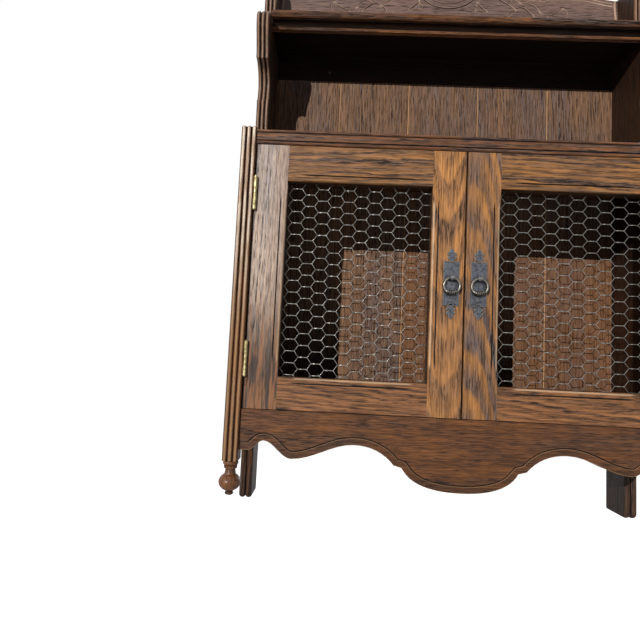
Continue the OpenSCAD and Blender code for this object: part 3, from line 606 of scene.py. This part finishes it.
def pilaster(side):
    node = "pilaster_" + side
    piece = bench_copy(node, node + "_reeded")
    low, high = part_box(node)
    step_in(piece, 2, high.z, 1, ((0.9 * MM, 1.6 * MM, 0.0), (1.1 * MM, 0.45 * MM, 0.0)))
    middle, reed_w = (low.x + high.x) / 2, (high.x - low.x) / 3

    def reeded(finish, place, colour):
        """Crests pale, partly wear and partly painted highlight in streaks, and painted shade in
        the valleys, both more so towards the top.
        """
        back = place[1] - PILASTER_FRONT
        # Crests pale, partly wear and partly painted highlight, whiter towards the top
        crest = back.fall(0.05 * MM, 0.7 * MM)
        # Painted shade in the valleys
        valley_shade = abs(abs(place[0] - middle) - reed_w / 2).fall(1.7 * MM, 2.6 * MM)
        valley_shade = valley_shade * back.step(0.8 * MM, 1.8 * MM)
        drawn = finish.point(place[0], place[1], place[2] * 0.1)
        streaks = finish.noise(drawn, 240.0, 3.0).step(0.36, 0.58)
        painted_highlight = place[2].step(*HIGHLIGHT_FROM) * (0.25 + 0.75 * streaks)
        colour = finish.mix(colour, WEAR_AND_HIGHLIGHT, crest * 0.42)
        colour = finish.mix(colour, rgb(244, 226, 204), crest * painted_highlight)
        return finish.mix(colour, PAINTED_SHADE, valley_shade * (0.34 + 0.61 * place[2].step(*DARK_FROM)))

    shade(piece)
    stand_for(piece, node, oak("pilaster oak " + side, "xyz", 15 + len(side), bands=0.1,
                               age=reeded))


# Apron: the lips of its routed border and its scalloped edge are eased
BORDER_DEPTH = 0.8 * MM
LOBE_FOOT = (-0.69, -0.62)


def apron():
    piece = bench_copy("apron", "apron_board")
    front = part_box("apron")[0].y
    band = front + BORDER_DEPTH
    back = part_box("apron")[1].y

    def on(plane):
        return lambda a, b: abs(a.y - plane) < NEAR and abs(b.y - plane) < NEAR

    round_over(piece, 0.3 * MM, on(front), least=0.7 * MM)
    round_over(piece, 1.0 * MM, on(band), least=1.2 * MM)
    round_over(piece, 0.5 * MM, on(back), least=1.2 * MM)

    def shade_and_highlight(finish, place, colour):
        """Painted shade in the quirk beside a lip with a painted highlight, a darker border and a
        darker foot of the lobe.
        """
        deep = place[1] - front
        # Painted shade in the quirk
        quirk = deep.band((1.1 * MM, 1.8 * MM), (2.05 * MM, 2.4 * MM))
        border = deep.step(0.3 * MM, 0.7 * MM)
        # Painted highlight on the lip
        lip = deep.band((0.82 * MM, 0.9 * MM), (1.35 * MM, 1.5 * MM))
        colour = finish.mix(colour, rgb(30, 20, 15), place[2].fall(*LOBE_FOOT) * 0.16)
        colour = finish.mix(colour, rgb(58, 40, 30), border * 0.3)
        colour = finish.mix(colour, WEAR_AND_HIGHLIGHT, lip * 0.3)
        return finish.mix(colour, PAINTED_SHADE, quirk * 0.95)

    shade(piece)
    stand_for(piece, "apron", oak("apron oak", "zyx", 13, slope=0.01, bands=0.16, wave=1.6,
                                  pith=(-0.6, 0.1), age=shade_and_highlight))


# Crest: carved with an oval cartouche between leaf scrolls
def bend(*points, steps=14):
    """Points along a smooth curve that passes through the given ones."""
    knots = [Vector(p) for p in (points[0],) + points + (points[-1],)]
    line = []
    for i in range(1, len(knots) - 2):
        p0, p1, p2, p3 = knots[i - 1:i + 3]
        for j in range(steps):
            t = j / steps
            line.append(0.5 * (2 * p1 + (p2 - p0) * t + (2 * p0 - 5 * p1 + 4 * p2 - p3) * t ** 2
                               + (3 * p1 - p0 - 3 * p2 + p3) * t ** 3))
    line.append(knots[-2])
    return np.array([tuple(p) for p in line])


def ring_line(centre, rx, ry, count=72):
    angles = np.radians(360.0 * np.arange(count + 1) / count)
    return np.stack([centre[0] + rx * np.cos(angles), centre[1] + ry * np.sin(angles)], axis=1)


def carving():
    """Cut lines of the crest in millimetres, each with the half width of its cut."""
    middle = (0.0, 156.0)

    def around(angle, rx, ry):
        return (middle[0] + rx * math.cos(angle), middle[1] + ry * math.sin(angle))

    cuts = [(ring_line(middle, 56, 44), 1.7), (ring_line(middle, 46.5, 35), 1.4),
            (ring_line(middle, 9, 8, count=28), 1.3)]
    for i in range(8):
        petal = math.radians(45 * i)
        vein = math.radians(45 * i + 22.5)
        for turn in (-0.3, 0.3):
            cuts.append((bend(around(petal, 10, 9), around(petal + turn, 25, 19),
                              around(petal, 36, 27), steps=10), 1.2))
        cuts.append((bend(around(vein, 14, 12), around(vein, 30, 23), steps=8), 0.9))
    half = [
        (bend((69, 108), (61, 113), (54, 120), (50, 124)), 1.5),
        (bend((69, 108), (58, 108), (48, 110)), 1.3),
        (bend((48, 110), (46, 114), (50, 121)), 1.3),
        (bend((50, 124), (58, 134), (74, 137), (100, 125), (118, 113)), 1.6),
        (bend((118, 113), (124, 117.5), (133, 116), (142, 109), (150, 102)), 1.6),
        (bend((118, 113), (111, 109), (107.6, 101.5)), 1.4),
        (bend((91, 98.5), (99, 101), (107, 100)), 1.2),
        (bend((74, 137), (84, 143), (98, 142), (112, 132), (126, 126)), 1.5),
        (bend((126, 126), (140, 125), (152, 119), (160, 109)), 1.4),
        (bend((112, 132), (107, 126), (100, 125)), 1.1),
        (bend((62, 150), (72, 157), (86, 156), (98, 148), (104, 141)), 1.5),
        (bend((62, 150), (67, 145), (76, 145), (84, 143)), 1.2),
        (bend((60, 168), (68, 176), (78, 171), (84, 162)), 1.3),
        (bend((60, 168), (66, 163), (75, 163), (84, 162)), 1.1),
        (bend((160, 109), (172, 104), (186, 108), (200, 118)), 1.4),
        (bend((172, 104), (176, 96), (188, 92), (200, 96)), 1.3),
        (bend((200, 118), (206, 112), (204, 103), (200, 96)), 1.2),
        (bend((130, 116), (136, 121), (140, 125)), 1.0),
        (bend((82, 134), (90, 137), (98, 136)), 1.0),
        (bend((72, 151), (80, 152), (89, 149)), 1.0)]
    for line, width in half:
        cuts.append((line, width))
        cuts.append((line * (-1, 1), width))
    return cuts


# In millimetres: the rounding of the edge, the inset and half width of the lines along it, the
# spacing of points on a cut and along the edge, and how near two points may come
EDGE_R = 1.4
EDGE_LINES = ((11, 1.3), (6, 0.8))
CUT_PITCH = 1.4
EDGE_PITCH = 2.5
MERGE = 0.25


def side_of(line):
    """Unit vectors that point to the left of a line's run."""
    run = np.gradient(line, axis=0)
    side = np.stack([-run[:, 1], run[:, 0]], axis=1)
    return side / np.maximum(np.linalg.norm(side, axis=1), 1e-6)[:, None]


def gaps(points, line):
    """Distance of each point from each point of a line."""
    return np.linalg.norm(points[:, None] - line[None], axis=2)


def fill_in(line, pitch):
    """Adds points until none is further than about a pitch from the next."""
    points = [line[0]]
    for a, b in zip(line[:-1], line[1:]):
        count = max(1, int(np.linalg.norm(b - a) / pitch))
        points += [a + (b - a) * (k + 1) / count for k in range(count)]
    return np.array(points)


def cut_depth(flat, cuts):
    """How deep the carving lies at each point. A cut fades towards its ends."""
    depth = np.zeros(len(flat))
    for line, width in cuts:
        closed = np.linalg.norm(line[0] - line[-1]) < 0.1
        along = np.linspace(0.0, 1.0, len(line))
        taper = np.minimum(1.0, np.sin(np.pi * along) ** 0.45 + 0.05)
        if closed:
            taper = np.ones(len(line))
        gap = gaps(flat, line)
        share = np.clip(1.0 - gap.min(axis=1) / width, 0.0, 1.0)
        depth = np.maximum(depth, share * width * 0.95 * taper[gap.argmin(axis=1)])
    return depth


def edge_depth(flat, top):
    """How far the rounded upper edge falls away at each point."""
    to_edge = gaps(flat, top).min(axis=1)
    to_edge[:len(top)] = 0.0
    close = np.clip(EDGE_R - to_edge, 0.0, EDGE_R)
    fall = np.where(to_edge < EDGE_R, EDGE_R - np.sqrt(EDGE_R ** 2 - close ** 2), 0.0)
    return np.minimum(fall, EDGE_R * 0.8)


def carved_panel(name, flat, depth, count, front, back):
    """A panel whose face is laid through flat points, each sunk to its own depth. The first
    points, as many as count says, are its outline in order."""
    made = delaunay_2d_cdt([Vector(p) for p in flat], [], [list(range(count))], 1, 1e-4)
    mesh = bmesh.new()
    skin = []
    for vert, source in zip(made[0], made[3]):
        y = front + (depth[source[0]] * MM if source else 0.0)
        skin.append(mesh.verts.new((vert.x * MM, y, vert.y * MM)))
    for face in made[2]:
        mesh.faces.new([skin[i] for i in face])
    for vert in [v for v in mesh.verts if not v.link_faces]:
        mesh.verts.remove(vert)
    rim = skin[:count]
    behind = [mesh.verts.new((vert.co.x, back, vert.co.z)) for vert in rim]
    for i in range(count):
        mesh.faces.new((rim[i - 1], rim[i], behind[i], behind[i - 1]))
    mesh.faces.new(behind)
    bmesh.ops.recalc_face_normals(mesh, faces=mesh.faces)
    data = bpy.data.meshes.new(name)
    mesh.to_mesh(data)
    mesh.free()
    return add_object(name, data)


def crest():
    node = "crest_panel"
    low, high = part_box(node)
    solid = np.array([tuple(v.co) for v in nodes[node].data.vertices]) / MM
    front = solid[(abs(solid[:, 1] - low.y / MM) < 0.01) & (solid[:, 2] > SHELF_TOP / MM + 1)]
    top = np.unique(np.round(front[:, [0, 2]], 3), axis=0)
    outward = side_of(top)
    outline = np.vstack([top, [[top[-1, 0], low.z / MM], [top[0, 0], low.z / MM]]])

    def set_in(inset):
        """The upper edge moved in, without its ends and the places where it crosses itself."""
        moved = top - outward * inset
        kept = moved[gaps(moved, top).min(axis=1) > 0.99 * inset]
        return kept[abs(kept[:, 0]) < high.x / MM - 2.5]

    cuts = [(fill_in(line, CUT_PITCH), width) for line, width in carving()]
    cuts += [(fill_in(set_in(inset), EDGE_PITCH), width) for inset, width in EDGE_LINES]
    points = []
    for line, width in cuts:
        side = side_of(line)
        points += [line + side * width * k for k in (-1.0, -0.5, 0.0, 0.5, 1.0)]
    points += [set_in(inset) for inset in (0.5, EDGE_R)]
    inner = np.vstack(points)
    inner = inner[np.unique(np.round(inner / MERGE).astype(int), axis=0, return_index=True)[1]]
    flat = np.vstack([outline, inner])
    depth = np.maximum(cut_depth(flat, cuts), edge_depth(flat, top))
    piece = carved_panel("crest_carved", flat, depth, len(outline), low.y, high.y)

    def shade_and_highlight(finish, place, colour):
        """Painted shade in the cuts, painted highlights on their lips, and painted shade along the
        under edge.
        """
        deep = place[1] - CREST_FRONT
        # Painted shade in the cuts
        cut = deep.band((0.25 * MM, 1.3 * MM), (1.9 * MM, 2.4 * MM))
        # Painted highlight on the lips of the cuts
        lip = deep.band((0.02 * MM, 0.12 * MM), (0.4 * MM, 0.6 * MM))
        # Painted shade along the under edge
        under = (place[2] - low.z).fall(0.4 * MM, 1.2 * MM)
        colour = finish.mix(colour, rgb(226, 190, 160), lip * 0.6)
        colour = finish.mix(colour, PAINTED_SHADE, cut * 0.95)
        return finish.mix(colour, rgb(16, 11, 9), under * 0.95)

    only(piece)
    bpy.ops.object.shade_smooth_by_angle(angle=math.radians(28))
    stand_for(piece, node, oak("crest oak", "zyx", 16, CREST_TONES, slope=0.02, bands=0.12,
                               fine=0.28, age=shade_and_highlight))


def finial(side):
    axis = upright_axis("finial_" + side)

    def neck_shaded(finish, place, colour):
        reach = distance(place[0], place[1], axis)
        # Painted shade at the narrow neck of the finial
        return finish.mix(colour, PAINTED_SHADE, reach.fall(6 * MM, 8.5 * MM) * 0.7)

    fitting("finial_" + side, oak("turned oak " + side, "xyz", 7 + len(side), TURNED_TONES,
                                  gloss=0.3, bloom=0.1, bands=0.1, fine=0.3, age=neck_shaded), "turned")


# Where the painted warm light on the lower back boards behind the doors fades out towards the
# ledge, and the boards that get the most of it
SUNLIT_UP_TO = (-0.33, -0.22)
SUNLIT_FROM = -70 * MM


def joint_lines(left, right):
    """A painted highlight on the left edge of a back board and painted shade on its right edge, the
    lit and the shaded side of its joint. Low behind the doors the boards get a painted golden light
    where the key light falls, most of all on the boards to the right."""
    warm = 0.36 if left > SUNLIT_FROM else 0.06

    def lines(finish, place, colour):
        # Painted highlight on the lit left edge, painted shade on the right edge
        lit_edge = (place[0] - left).fall(1.0 * MM, 1.5 * MM)
        dark = (place[0] - right).step(-1.1 * MM, -0.7 * MM)
        # Painted light, low on the boards behind the doors
        colour = finish.mix(colour, rgb(118, 70, 32), place[2].fall(*SUNLIT_UP_TO) * warm)
        colour = finish.mix(colour, WEAR_AND_HIGHLIGHT, lit_edge * 0.6)
        return finish.mix(colour, PAINTED_SHADE, dark * 0.8)

    return lines


def shade_band(axis, start, tone, share, fall, rise=None):
    """Paints shade on a board up to the pair of limits fall, measured from a start along an axis,
    or only between the pairs rise and fall."""
    def paint_shade(finish, place, colour):
        off = place[axis] - start
        shaded_part = off.band(rise, fall) if rise else off.fall(*fall)
        return finish.mix(colour, tone, shaded_part * share)

    return paint_shade


def ledge_moulding_shade(low):
    """Painted shade in the two quirks of the ledge's moulding, above and below its middle."""
    def quirks(finish, place, colour):
        off = abs(place[2] - (low.z + 10.9 * MM))
        lines = off.band((3.9 * MM, 4.6 * MM), (6.2 * MM, 6.8 * MM))
        deep = (place[1] - low.y).band((0.45 * MM, 0.7 * MM), (3 * MM, 4 * MM))
        return finish.mix(colour, PAINTED_SHADE, lines * deep * 0.85)

    return quirks


def case_wood():
    for side in SIDES:
        side_panel(side)
        pilaster(side)
        finial(side)
    apron()
    crest()
    along_x = runs(0)
    quirks = ledge_moulding_shade(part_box("display_ledge")[0])
    board("display_ledge", oak("ledge oak", "zyx", 11, TRIM_TONES, slope=0.02, bloom=0.9,
                               age=quirks), 0.25 * MM, along_x)
    # The floor inside the cabinet takes the darkened tones as painted shade
    board("cabinet_floor", oak("floor oak", "yzx", 12, SHADE_DARKENED_TONES), pick=along_x)
    # Painted shade on the underside of the shelf
    shade_under_shelf = shade_band(2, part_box("upper_shelf")[0].z, rgb(14, 10, 9), 0.95, (1 * MM, 3 * MM))
    board("upper_shelf", oak("shelf oak", "yzx", 14, sheen=0.08, age=shade_under_shelf), pick=along_x)
    # Painted shade in the cove under the nosing
    shade_in_cove = shade_band(2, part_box("shelf_nosing")[0].z, PAINTED_SHADE, 0.94, (13.2 * MM, 15.5 * MM),
                   (3.4 * MM, 5.2 * MM))
    board("shelf_nosing", oak("nosing oak", "zyx", 15, TRIM_TONES, slope=0.02, sheen=0.03,
                              bloom=0.9, age=shade_in_cove), 0.3 * MM, along_x)
    # Painted shade on the front of the hanging rail
    unlit = shade_band(1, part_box("hanging_rail")[1].y, rgb(12, 9, 8), 0.9, (-6 * MM, -2 * MM))
    board("hanging_rail", oak("rail oak", "zyx", 17, sheen=0.08, age=unlit), pick=along_x)
    for i in range(1, 6):
        low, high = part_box(f"back_board_{i}")
        wood = oak(f"back oak {i}", "xyz", 20 + i, BACK_TONES, bloom=0.6, bands=0.1, fine=0.36,
                   sheen=0.06, pith=(low.x - 0.2, 0.1), age=joint_lines(low.x, high.x))
        board(f"back_board_{i}", wood, pick=lambda a, b: False)


# Doors: the bead and quirk round an opening stop short of its corners and run out to nothing
BEAD_STOP = 17 * MM
BEAD_R = 4 * MM
QUIRK_IN = 8.6 * MM
QUIRK_W = 1.8 * MM
RUN_OUT = 12 * MM


def run_out(piece, along, edge, wood, ends):
    """Lets the bead and its quirk run out to nothing towards both ends of an edge."""
    across = 2 - along
    stops = [(ends[0] + BEAD_STOP, 1), (ends[1] - BEAD_STOP, -1)]
    cut_at(piece, along, [stop + inward * RUN_OUT for stop, inward in stops])
    for vert in piece.data.vertices:
        if min(abs(vert.co[along] - stop) for stop, _ in stops) > NEAR:
            continue
        into = wood * (vert.co[across] - edge)
        deep = vert.co.y - DOOR_FACE
        if abs(into - QUIRK_IN) < QUIRK_W and deep < BEAD_R:
            vert.co[across] = edge + wood * QUIRK_IN
            vert.co.y = DOOR_FACE
        elif into < BEAD_R + NEAR and deep < BEAD_R + NEAR:
            vert.co[across] = edge
            vert.co.y = DOOR_FACE
    edit_all(piece, (bpy.ops.mesh.remove_doubles, {"threshold": 0.01 * MM}),
             (bpy.ops.mesh.dissolve_degenerate, {"threshold": 0.001 * MM}))


# Heights between which the painted sheen on a pale stile gives way to dark wood towards its foot
SHEEN_ENDS = (-0.53, -0.37)


def door_shade_and_highlight(along, edge, hung_at, wood, ends, fades):
    """Painted shade in the quirk, in the depth of the opening and on the hinged edge, where the
    pilaster's shadow falls, and a bead painted pale, partly wear and partly painted highlight. A
    stile with painted sheen is less pale near the opening and dark again towards its foot."""
    across = 2 - along
    # The bead is painted pale, partly wear and partly painted highlight, only faintly on the top
    # rail's bead, which faces down into shade
    bead_rub_and_light = 0.1 if along == 0 and wood > 0 else 0.55

    def shade_and_highlight(finish, place, colour):
        into = (place[across] - edge) * wood
        deep = place[1] - DOOR_FACE
        # Painted shade in the quirk
        quirk = abs(into - QUIRK_IN).fall(0.75 * QUIRK_W, 1.05 * QUIRK_W)
        quirk = quirk * deep.band((0.05 * MM, 0.5 * MM), (2.2 * MM, 3 * MM))
        rubbed = abs(into - 2.2 * MM).fall(0.4 * MM, 1.8 * MM) * deep.fall(1.2 * MM, 2.4 * MM)
        for from_end in (place[along] - ends[0], ends[1] - place[along]):
            rubbed = rubbed * from_end.step(BEAD_STOP, BEAD_STOP + RUN_OUT)
        # A stile with painted sheen: less pale near the opening, and painted dark streaky wood
        # towards its foot
        if fades:
            drawn = finish.point(place[0], place[1], place[2] * 0.08)
            streaks = finish.noise(drawn, 260.0, 3.0).step(0.42, 0.6)
            foot = finish.mix(rgb(48, 36, 30), rgb(138, 90, 54), streaks)
            colour = finish.mix(colour, rgb(140, 112, 96), into.fall(4 * MM, 30 * MM) * 0.4)
            colour = finish.mix(colour, foot, place[2].fall(*SHEEN_ENDS) * 0.9)
        if hung_at is not None:
            # Painted shadow of the pilaster on the hinged edge
            pilaster_shadow = abs(place[0] - hung_at).fall(1.0 * MM, 1.8 * MM)
            colour = finish.mix(colour, PAINTED_SHADE, pilaster_shadow * 0.9)
        # Painted shade in the depth of the opening
        inside = deep.step(3.5 * MM, 5 * MM)
        colour = finish.mix(colour, rgb(26, 18, 13), inside * 0.85)
        colour = finish.mix(colour, rgb(226, 190, 152), rubbed * bead_rub_and_light)
        return finish.mix(colour, PAINTED_SHADE, quirk)

    return shade_and_highlight


# Tones, bloom, bands, ring in mm, offset of the pith in mm and slope of the rings
DOOR_BOARDS = {
    "left": {"outer_stile": (PAINTED_SHEEN_TONES, 0.7, 0.2, 6, 60, 0.03),
             "inner_stile": (LIT_TONES, 0.5, 0.28, 8, -2, -0.14),
             "top_rail": (DOOR_TONES, 0.4, 0.48, 5, 34, 0.02),
             "bottom_rail": (RAIL_TONES, 0.35, 0.5, 4.4, -50, 0.05)},
    "right": {"outer_stile": (DOOR_TONES, 0.5, 0.5, 6, -50, 0.04),
              "inner_stile": (DOOR_TONES, 1.0, 0.4, 8, -16, 0.14),
              "top_rail": (DOOR_TONES, 0.4, 0.48, 5, -30, 0.02),
              "bottom_rail": (RAIL_TONES, 0.35, 0.5, 5, 22, -0.04)}}


def door_board(side, part, seed):
    node = f"{side}_{part}"
    left, right, bottom, top = opening(side)
    low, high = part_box(node)
    if part.endswith("stile"):
        along, ends = 2, (bottom, top)
        at_left = abs(high.x - left) < NEAR
        edge, wood = (left, -1) if at_left else (right, 1)
        outer = low.x if at_left else high.x
        grain, centre = "xyz", (low.x + high.x) / 2
    else:
        along, ends = 0, (left, right)
        at_top = part == "top_rail"
        edge, wood = (top, 1) if at_top else (bottom, -1)
        outer = high.z if at_top else low.z
        grain, centre = "zyx", (low.z + high.z) / 2
    across = 2 - along
    piece = bench_copy(node, node + "_board")
    run_out(piece, along, edge, wood, ends)

    def on_face(a, b):
        return abs(a.y - DOOR_FACE) < NEAR and abs(b.y - DOOR_FACE) < NEAR

    def outer_edge(a, b):
        return on_face(a, b) and all(abs(p[across] - outer) < 0.6 * MM for p in (a, b))

    def end_edge(a, b):
        return on_face(a, b) and abs(a[along] - b[along]) < NEAR

    def lip(a, b):
        into = [wood * (p[across] - edge) for p in (a, b)]
        return on_face(a, b) and all(abs(i - QUIRK_IN) < QUIRK_W for i in into)

    def joint(a, b):
        return on_face(a, b) and all(abs(p[across] - edge) < NEAR for p in (a, b))

    has_leaf = part == "outer_stile"
    round_over(piece, 0.45 * MM if has_leaf else 0.9 * MM, outer_edge, segments=3)
    if along == 2:
        round_over(piece, 0.6 * MM, end_edge, least=10 * MM)
    round_over(piece, 0.25 * MM, lip, segments=1)
    round_over(piece, 0.3 * MM, joint, segments=1)
    shade(piece)
    tones, bloom, bands, ring, heart, slope = DOOR_BOARDS[side][part]
    painted_light = door_shade_and_highlight(along, edge, outer if has_leaf else None, wood, ends, tones is PAINTED_SHEEN_TONES)
    stand_for(piece, node, oak(f"door oak {side} {part}", grain, seed, tones, ring=ring * MM,
                               pith=(centre + heart * MM, DOOR_FACE + 45 * MM), bloom=bloom,
                               bands=bands, slope=slope, fine=0.34,
                               wave=0.5 if part == "inner_stile" else 1.0, age=painted_light))


def door_wood():
    for i, side in enumerate(SIDES):
        for j, part in enumerate(DOOR_BOARDS[side]):
            door_board(side, part, 31 + 7 * i + j)
        # The strips inside the doors take the darkened tones as painted shade
        board(side + "_net_strips", oak(f"strip oak {side}", "xyz", 51 + i, SHADE_DARKENED_TONES),
              0.3 * MM, lambda a, b: False)


# Nets: each wire is twisted with its neighbours and crosses from one to the next
WIRE_R = 0.38 * MM
WIRE_SIDES = 6
TWIST_L = 13.4 * MM
TWIST_TURN = 540
TWIST_STEPS = 12
# In millimetres: the middle of a twist near the middle of each net, and the distance of the net's
# columns and of its rows
NETS = {"left": ((-143.2, -395.2), (18.4, 16.45)), "right": ((140.1, -396.7), (19, 16.6))}


def wire_path(low, high, middle, pitch, start, climb):
    """Middle line of one wire, from one side of the net to the other."""
    points = []
    columns = int((high.x - low.x) / pitch[0] / 2) + 2
    for i in range(-columns, columns + 1):
        x = middle[0] + i * pitch[0]
        z = middle[1] + (start + climb * i / 2) * pitch[1]
        for k in range(TWIST_STEPS + 1):
            share = k / TWIST_STEPS
            turn = math.radians(climb * (TWIST_TURN * share - 90))
            points.append((x + TWIST_L * (share - 0.5), WIRE_R * math.cos(turn),
                           z + WIRE_R * math.sin(turn)))
    return points


def add_wire(verts, faces, line):
    """Adds a round wire with closed ends along a line."""
    first = len(verts)
    for i, p in enumerate(line):
        run = (line[min(i + 1, len(line) - 1)] - line[max(i - 1, 0)]).normalized()
        up = run.cross(Vector((0.0, 1.0, 0.0))).normalized()
        out = up.cross(run)
        for s in range(WIRE_SIDES):
            a = 2 * math.pi * s / WIRE_SIDES
            verts.append(p + WIRE_R * (up * math.cos(a) + out * math.sin(a)))
    last = len(verts) - WIRE_SIDES
    for ring in range(first, last, WIRE_SIDES):
        for s in range(WIRE_SIDES):
            a, b = ring + s, ring + (s + 1) % WIRE_SIDES
            faces.append((a, b, b + WIRE_SIDES, a + WIRE_SIDES))
    faces.append(tuple(range(first + WIRE_SIDES - 1, first - 1, -1)))
    faces.append(tuple(range(last, last + WIRE_SIDES)))


def wire_net(side):
    node = side + "_wire_net"
    low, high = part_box(node)
    middle, pitch = ([length * MM for length in pair] for pair in NETS[side])
    depth = low.y + 2 * WIRE_R
    verts, faces = [], []
    rows = int((high.z - low.z) / pitch[1]) + 14
    for climb in (-1, 1):
        for start in range(-rows, rows + 1):
            line = [Vector((x, depth + y, z)) for x, y, z in
                    wire_path(low, high, middle, pitch, start, climb)
                    if low.x < x < high.x and low.z < z < high.z]
            if len(line) >= 3:
                add_wire(verts, faces, line)
    name = node + "_twisted"
    mesh = bpy.data.meshes.new(name)
    mesh.from_pydata([tuple(p) for p in verts], [], faces)
    piece = add_object(name, mesh)
    edit_all(piece, (bpy.ops.mesh.normals_make_consistent, {"inside": False}))
    bpy.ops.object.shade_smooth_by_angle(angle=math.radians(65))
    stand_for(piece, node, WIRE)


# Pulls: the sunk field of a plate, and a bar that swells into a ribbed grip at the ring's foot
PLATE_STEPS = ((0.35 * MM, 0.3 * MM, 0.0), (0.75 * MM, 0.0, 0.0), (0.35 * MM, 0.0, 0.5 * MM))
RING_BAR = 2.0 * MM
RING_GRIP = 3.8 * MM
RING_REACH = 10.8 * MM
GRIP_REACH = RING_REACH + 2.55 * MM - RING_GRIP
RING_TOP = 1.7 * MM
# Degrees from the foot of the ring over which the grip is full, and over which it fades
GRIP_FULL = 26
GRIP_FADE = 26


def handle_plate(side):
    node = side + "_handle_plate"
    piece = bench_copy(node, node + "_cast")
    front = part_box(node)[0].y
    step_in(piece, 1, front, -1, PLATE_STEPS)
    shade(piece)
    stand_for(piece, node, dark_iron("cast plate " + side, front + 0.45 * MM, 0.4 * MM))


def drop_ring(side):
    node = side + "_drop_ring"
    low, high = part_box(node)
    pivot_y = (low.y + high.y) / 2
    x = (low.x + high.x) / 2
    z = high.z - RING_REACH - RING_TOP
    bpy.ops.object.select_all(action="DESELECT")
    bpy.ops.mesh.primitive_torus_add(major_segments=144, minor_segments=16,
                                     major_radius=RING_REACH, minor_radius=RING_BAR)
    piece = bpy.context.object
    piece.name = node + "_cast"
    for vert in piece.data.vertices:
        angle = math.atan2(vert.co.y, vert.co.x)
        round_about = Vector((math.cos(angle), math.sin(angle), 0.0)) * RING_REACH
        off = abs((math.degrees(angle) + 90 + 180) % 360 - 180)
        swell = 1.0 - min(max((off - GRIP_FULL) / GRIP_FADE, 0.0), 1.0)
        swell = swell * swell * (3 - 2 * swell)
        rib = 0.5 - 0.5 * math.cos(math.radians(off * RIBS_ROUND))
        size = 1 + swell * (RING_GRIP / RING_BAR - 1) * (1.0 - 0.5 * rib)
        centre = round_about * (1.0 + swell * (GRIP_REACH / RING_REACH - 1.0))
        vert.co = centre + (vert.co - round_about) * size
    piece.data.transform(Matrix.Translation((x, pivot_y, z))
                         @ Matrix.Rotation(math.radians(90), 4, "X"))
    only(piece)
    bpy.ops.object.shade_smooth()
    stand_for(piece, node, dark_iron("cast ring " + side, pivot_y + 0.4 * MM, 2.4 * MM, (x, z)))


def hardware():
    iron = dark_iron("cast post", DOOR_FACE - 4.5 * MM, 4 * MM)
    brown = plain_brown()
    for side in SIDES:
        brass = hinge_brass(side)
        for node in (f"case_hinge_leaves_{side}", f"{side}_hinge_leaves",
                     f"case_hinge_screws_{side}", f"{side}_hinge_screws",
                     f"hinge_pins_{side}"):
            fitting(node, brass, "brass")
        handle_plate(side)
        drop_ring(side)
        fitting(side + "_ring_post", iron, "cast")
        fitting(side + "_plate_nail", iron, "cast")
        board(side + "_strike_plate", ZINC, 0.3 * MM, least=3 * MM)
        board("catch_" + side, brown, 0.5 * MM, least=3 * MM)
    for side in SIDES:
        wire_net(side)


# Stage and light. Each lamp is a sun: name, energy, angle in degrees and travel of its light
FLOOR_SIZE = 8.0
FLOOR_AT = (0.0, -1.0, -1.25)
WHITE = (1.0, 1.0, 1.0, 1.0)
PALE = (0.8, 0.8, 0.8, 1.0)
BLACK = (0.0, 0.0, 0.0, 1.0)
SKY_BLUE = (0.22, 0.5, 1.0, 1.0)
SKY_LEVEL = 0.045
LAMPS = (("key", 3.2, 0.25, (0.4886, 1.0, -0.3206)),
         ("back light", 2.0, 40, (-0.7, -1.0, -0.6)))


def lamp(name, energy, angle, travel):
    data = bpy.data.lights.new(name, "SUN")
    data.energy = energy
    data.angle = math.radians(angle)
    light = add_object(name, data)
    light.rotation_euler = Vector(travel).to_track_quat("-Z", "Y").to_euler()


def sky():
    """White to the camera, in gloss and through clear pieces, and a weak blue light on the rest."""
    world = bpy.data.worlds.new("room")
    bpy.context.scene.world = world
    world.use_nodes = True
    room = Nodes(world.node_tree)
    camera, glossy, clear = (room.node("LightPath", out=f"Is {ray} Ray")
                             for ray in ("Camera", "Glossy", "Transmission"))
    white = camera + clear + glossy
    level = room.node("MapRange", inputs={"Value": white, "To Min": SKY_LEVEL, "To Max": 1.0})
    background = room.tree.nodes["Background"]
    room.feed(background.inputs["Strength"], level)
    room.feed(background.inputs["Color"], room.mix(SKY_BLUE, WHITE, white))


def pale_floor():
    bpy.ops.object.select_all(action="DESELECT")
    bpy.ops.mesh.primitive_plane_add(size=FLOOR_SIZE, location=FLOOR_AT)
    floor = bpy.context.object
    floor.name = "floor"
    bpy.ops.object.transform_apply()
    pale = Finish("pale floor", Base_Color=PALE, Roughness=0.9, Specular_IOR_Level=0.0,
                  Emission_Strength=1.0)
    glow = pale.mix(BLACK, PALE, pale.node("LightPath"))
    pale.feed(pale.shader.inputs["Emission Color"], glow)
    floor.data.materials.append(pale.material)


def stage_and_light():
    sky()
    pale_floor()
    for settings in LAMPS:
        lamp(*settings)
    bpy.context.scene.view_settings.view_transform = "Standard"


set_camera()
case_wood()
door_wood()
hardware()
stage_and_light()
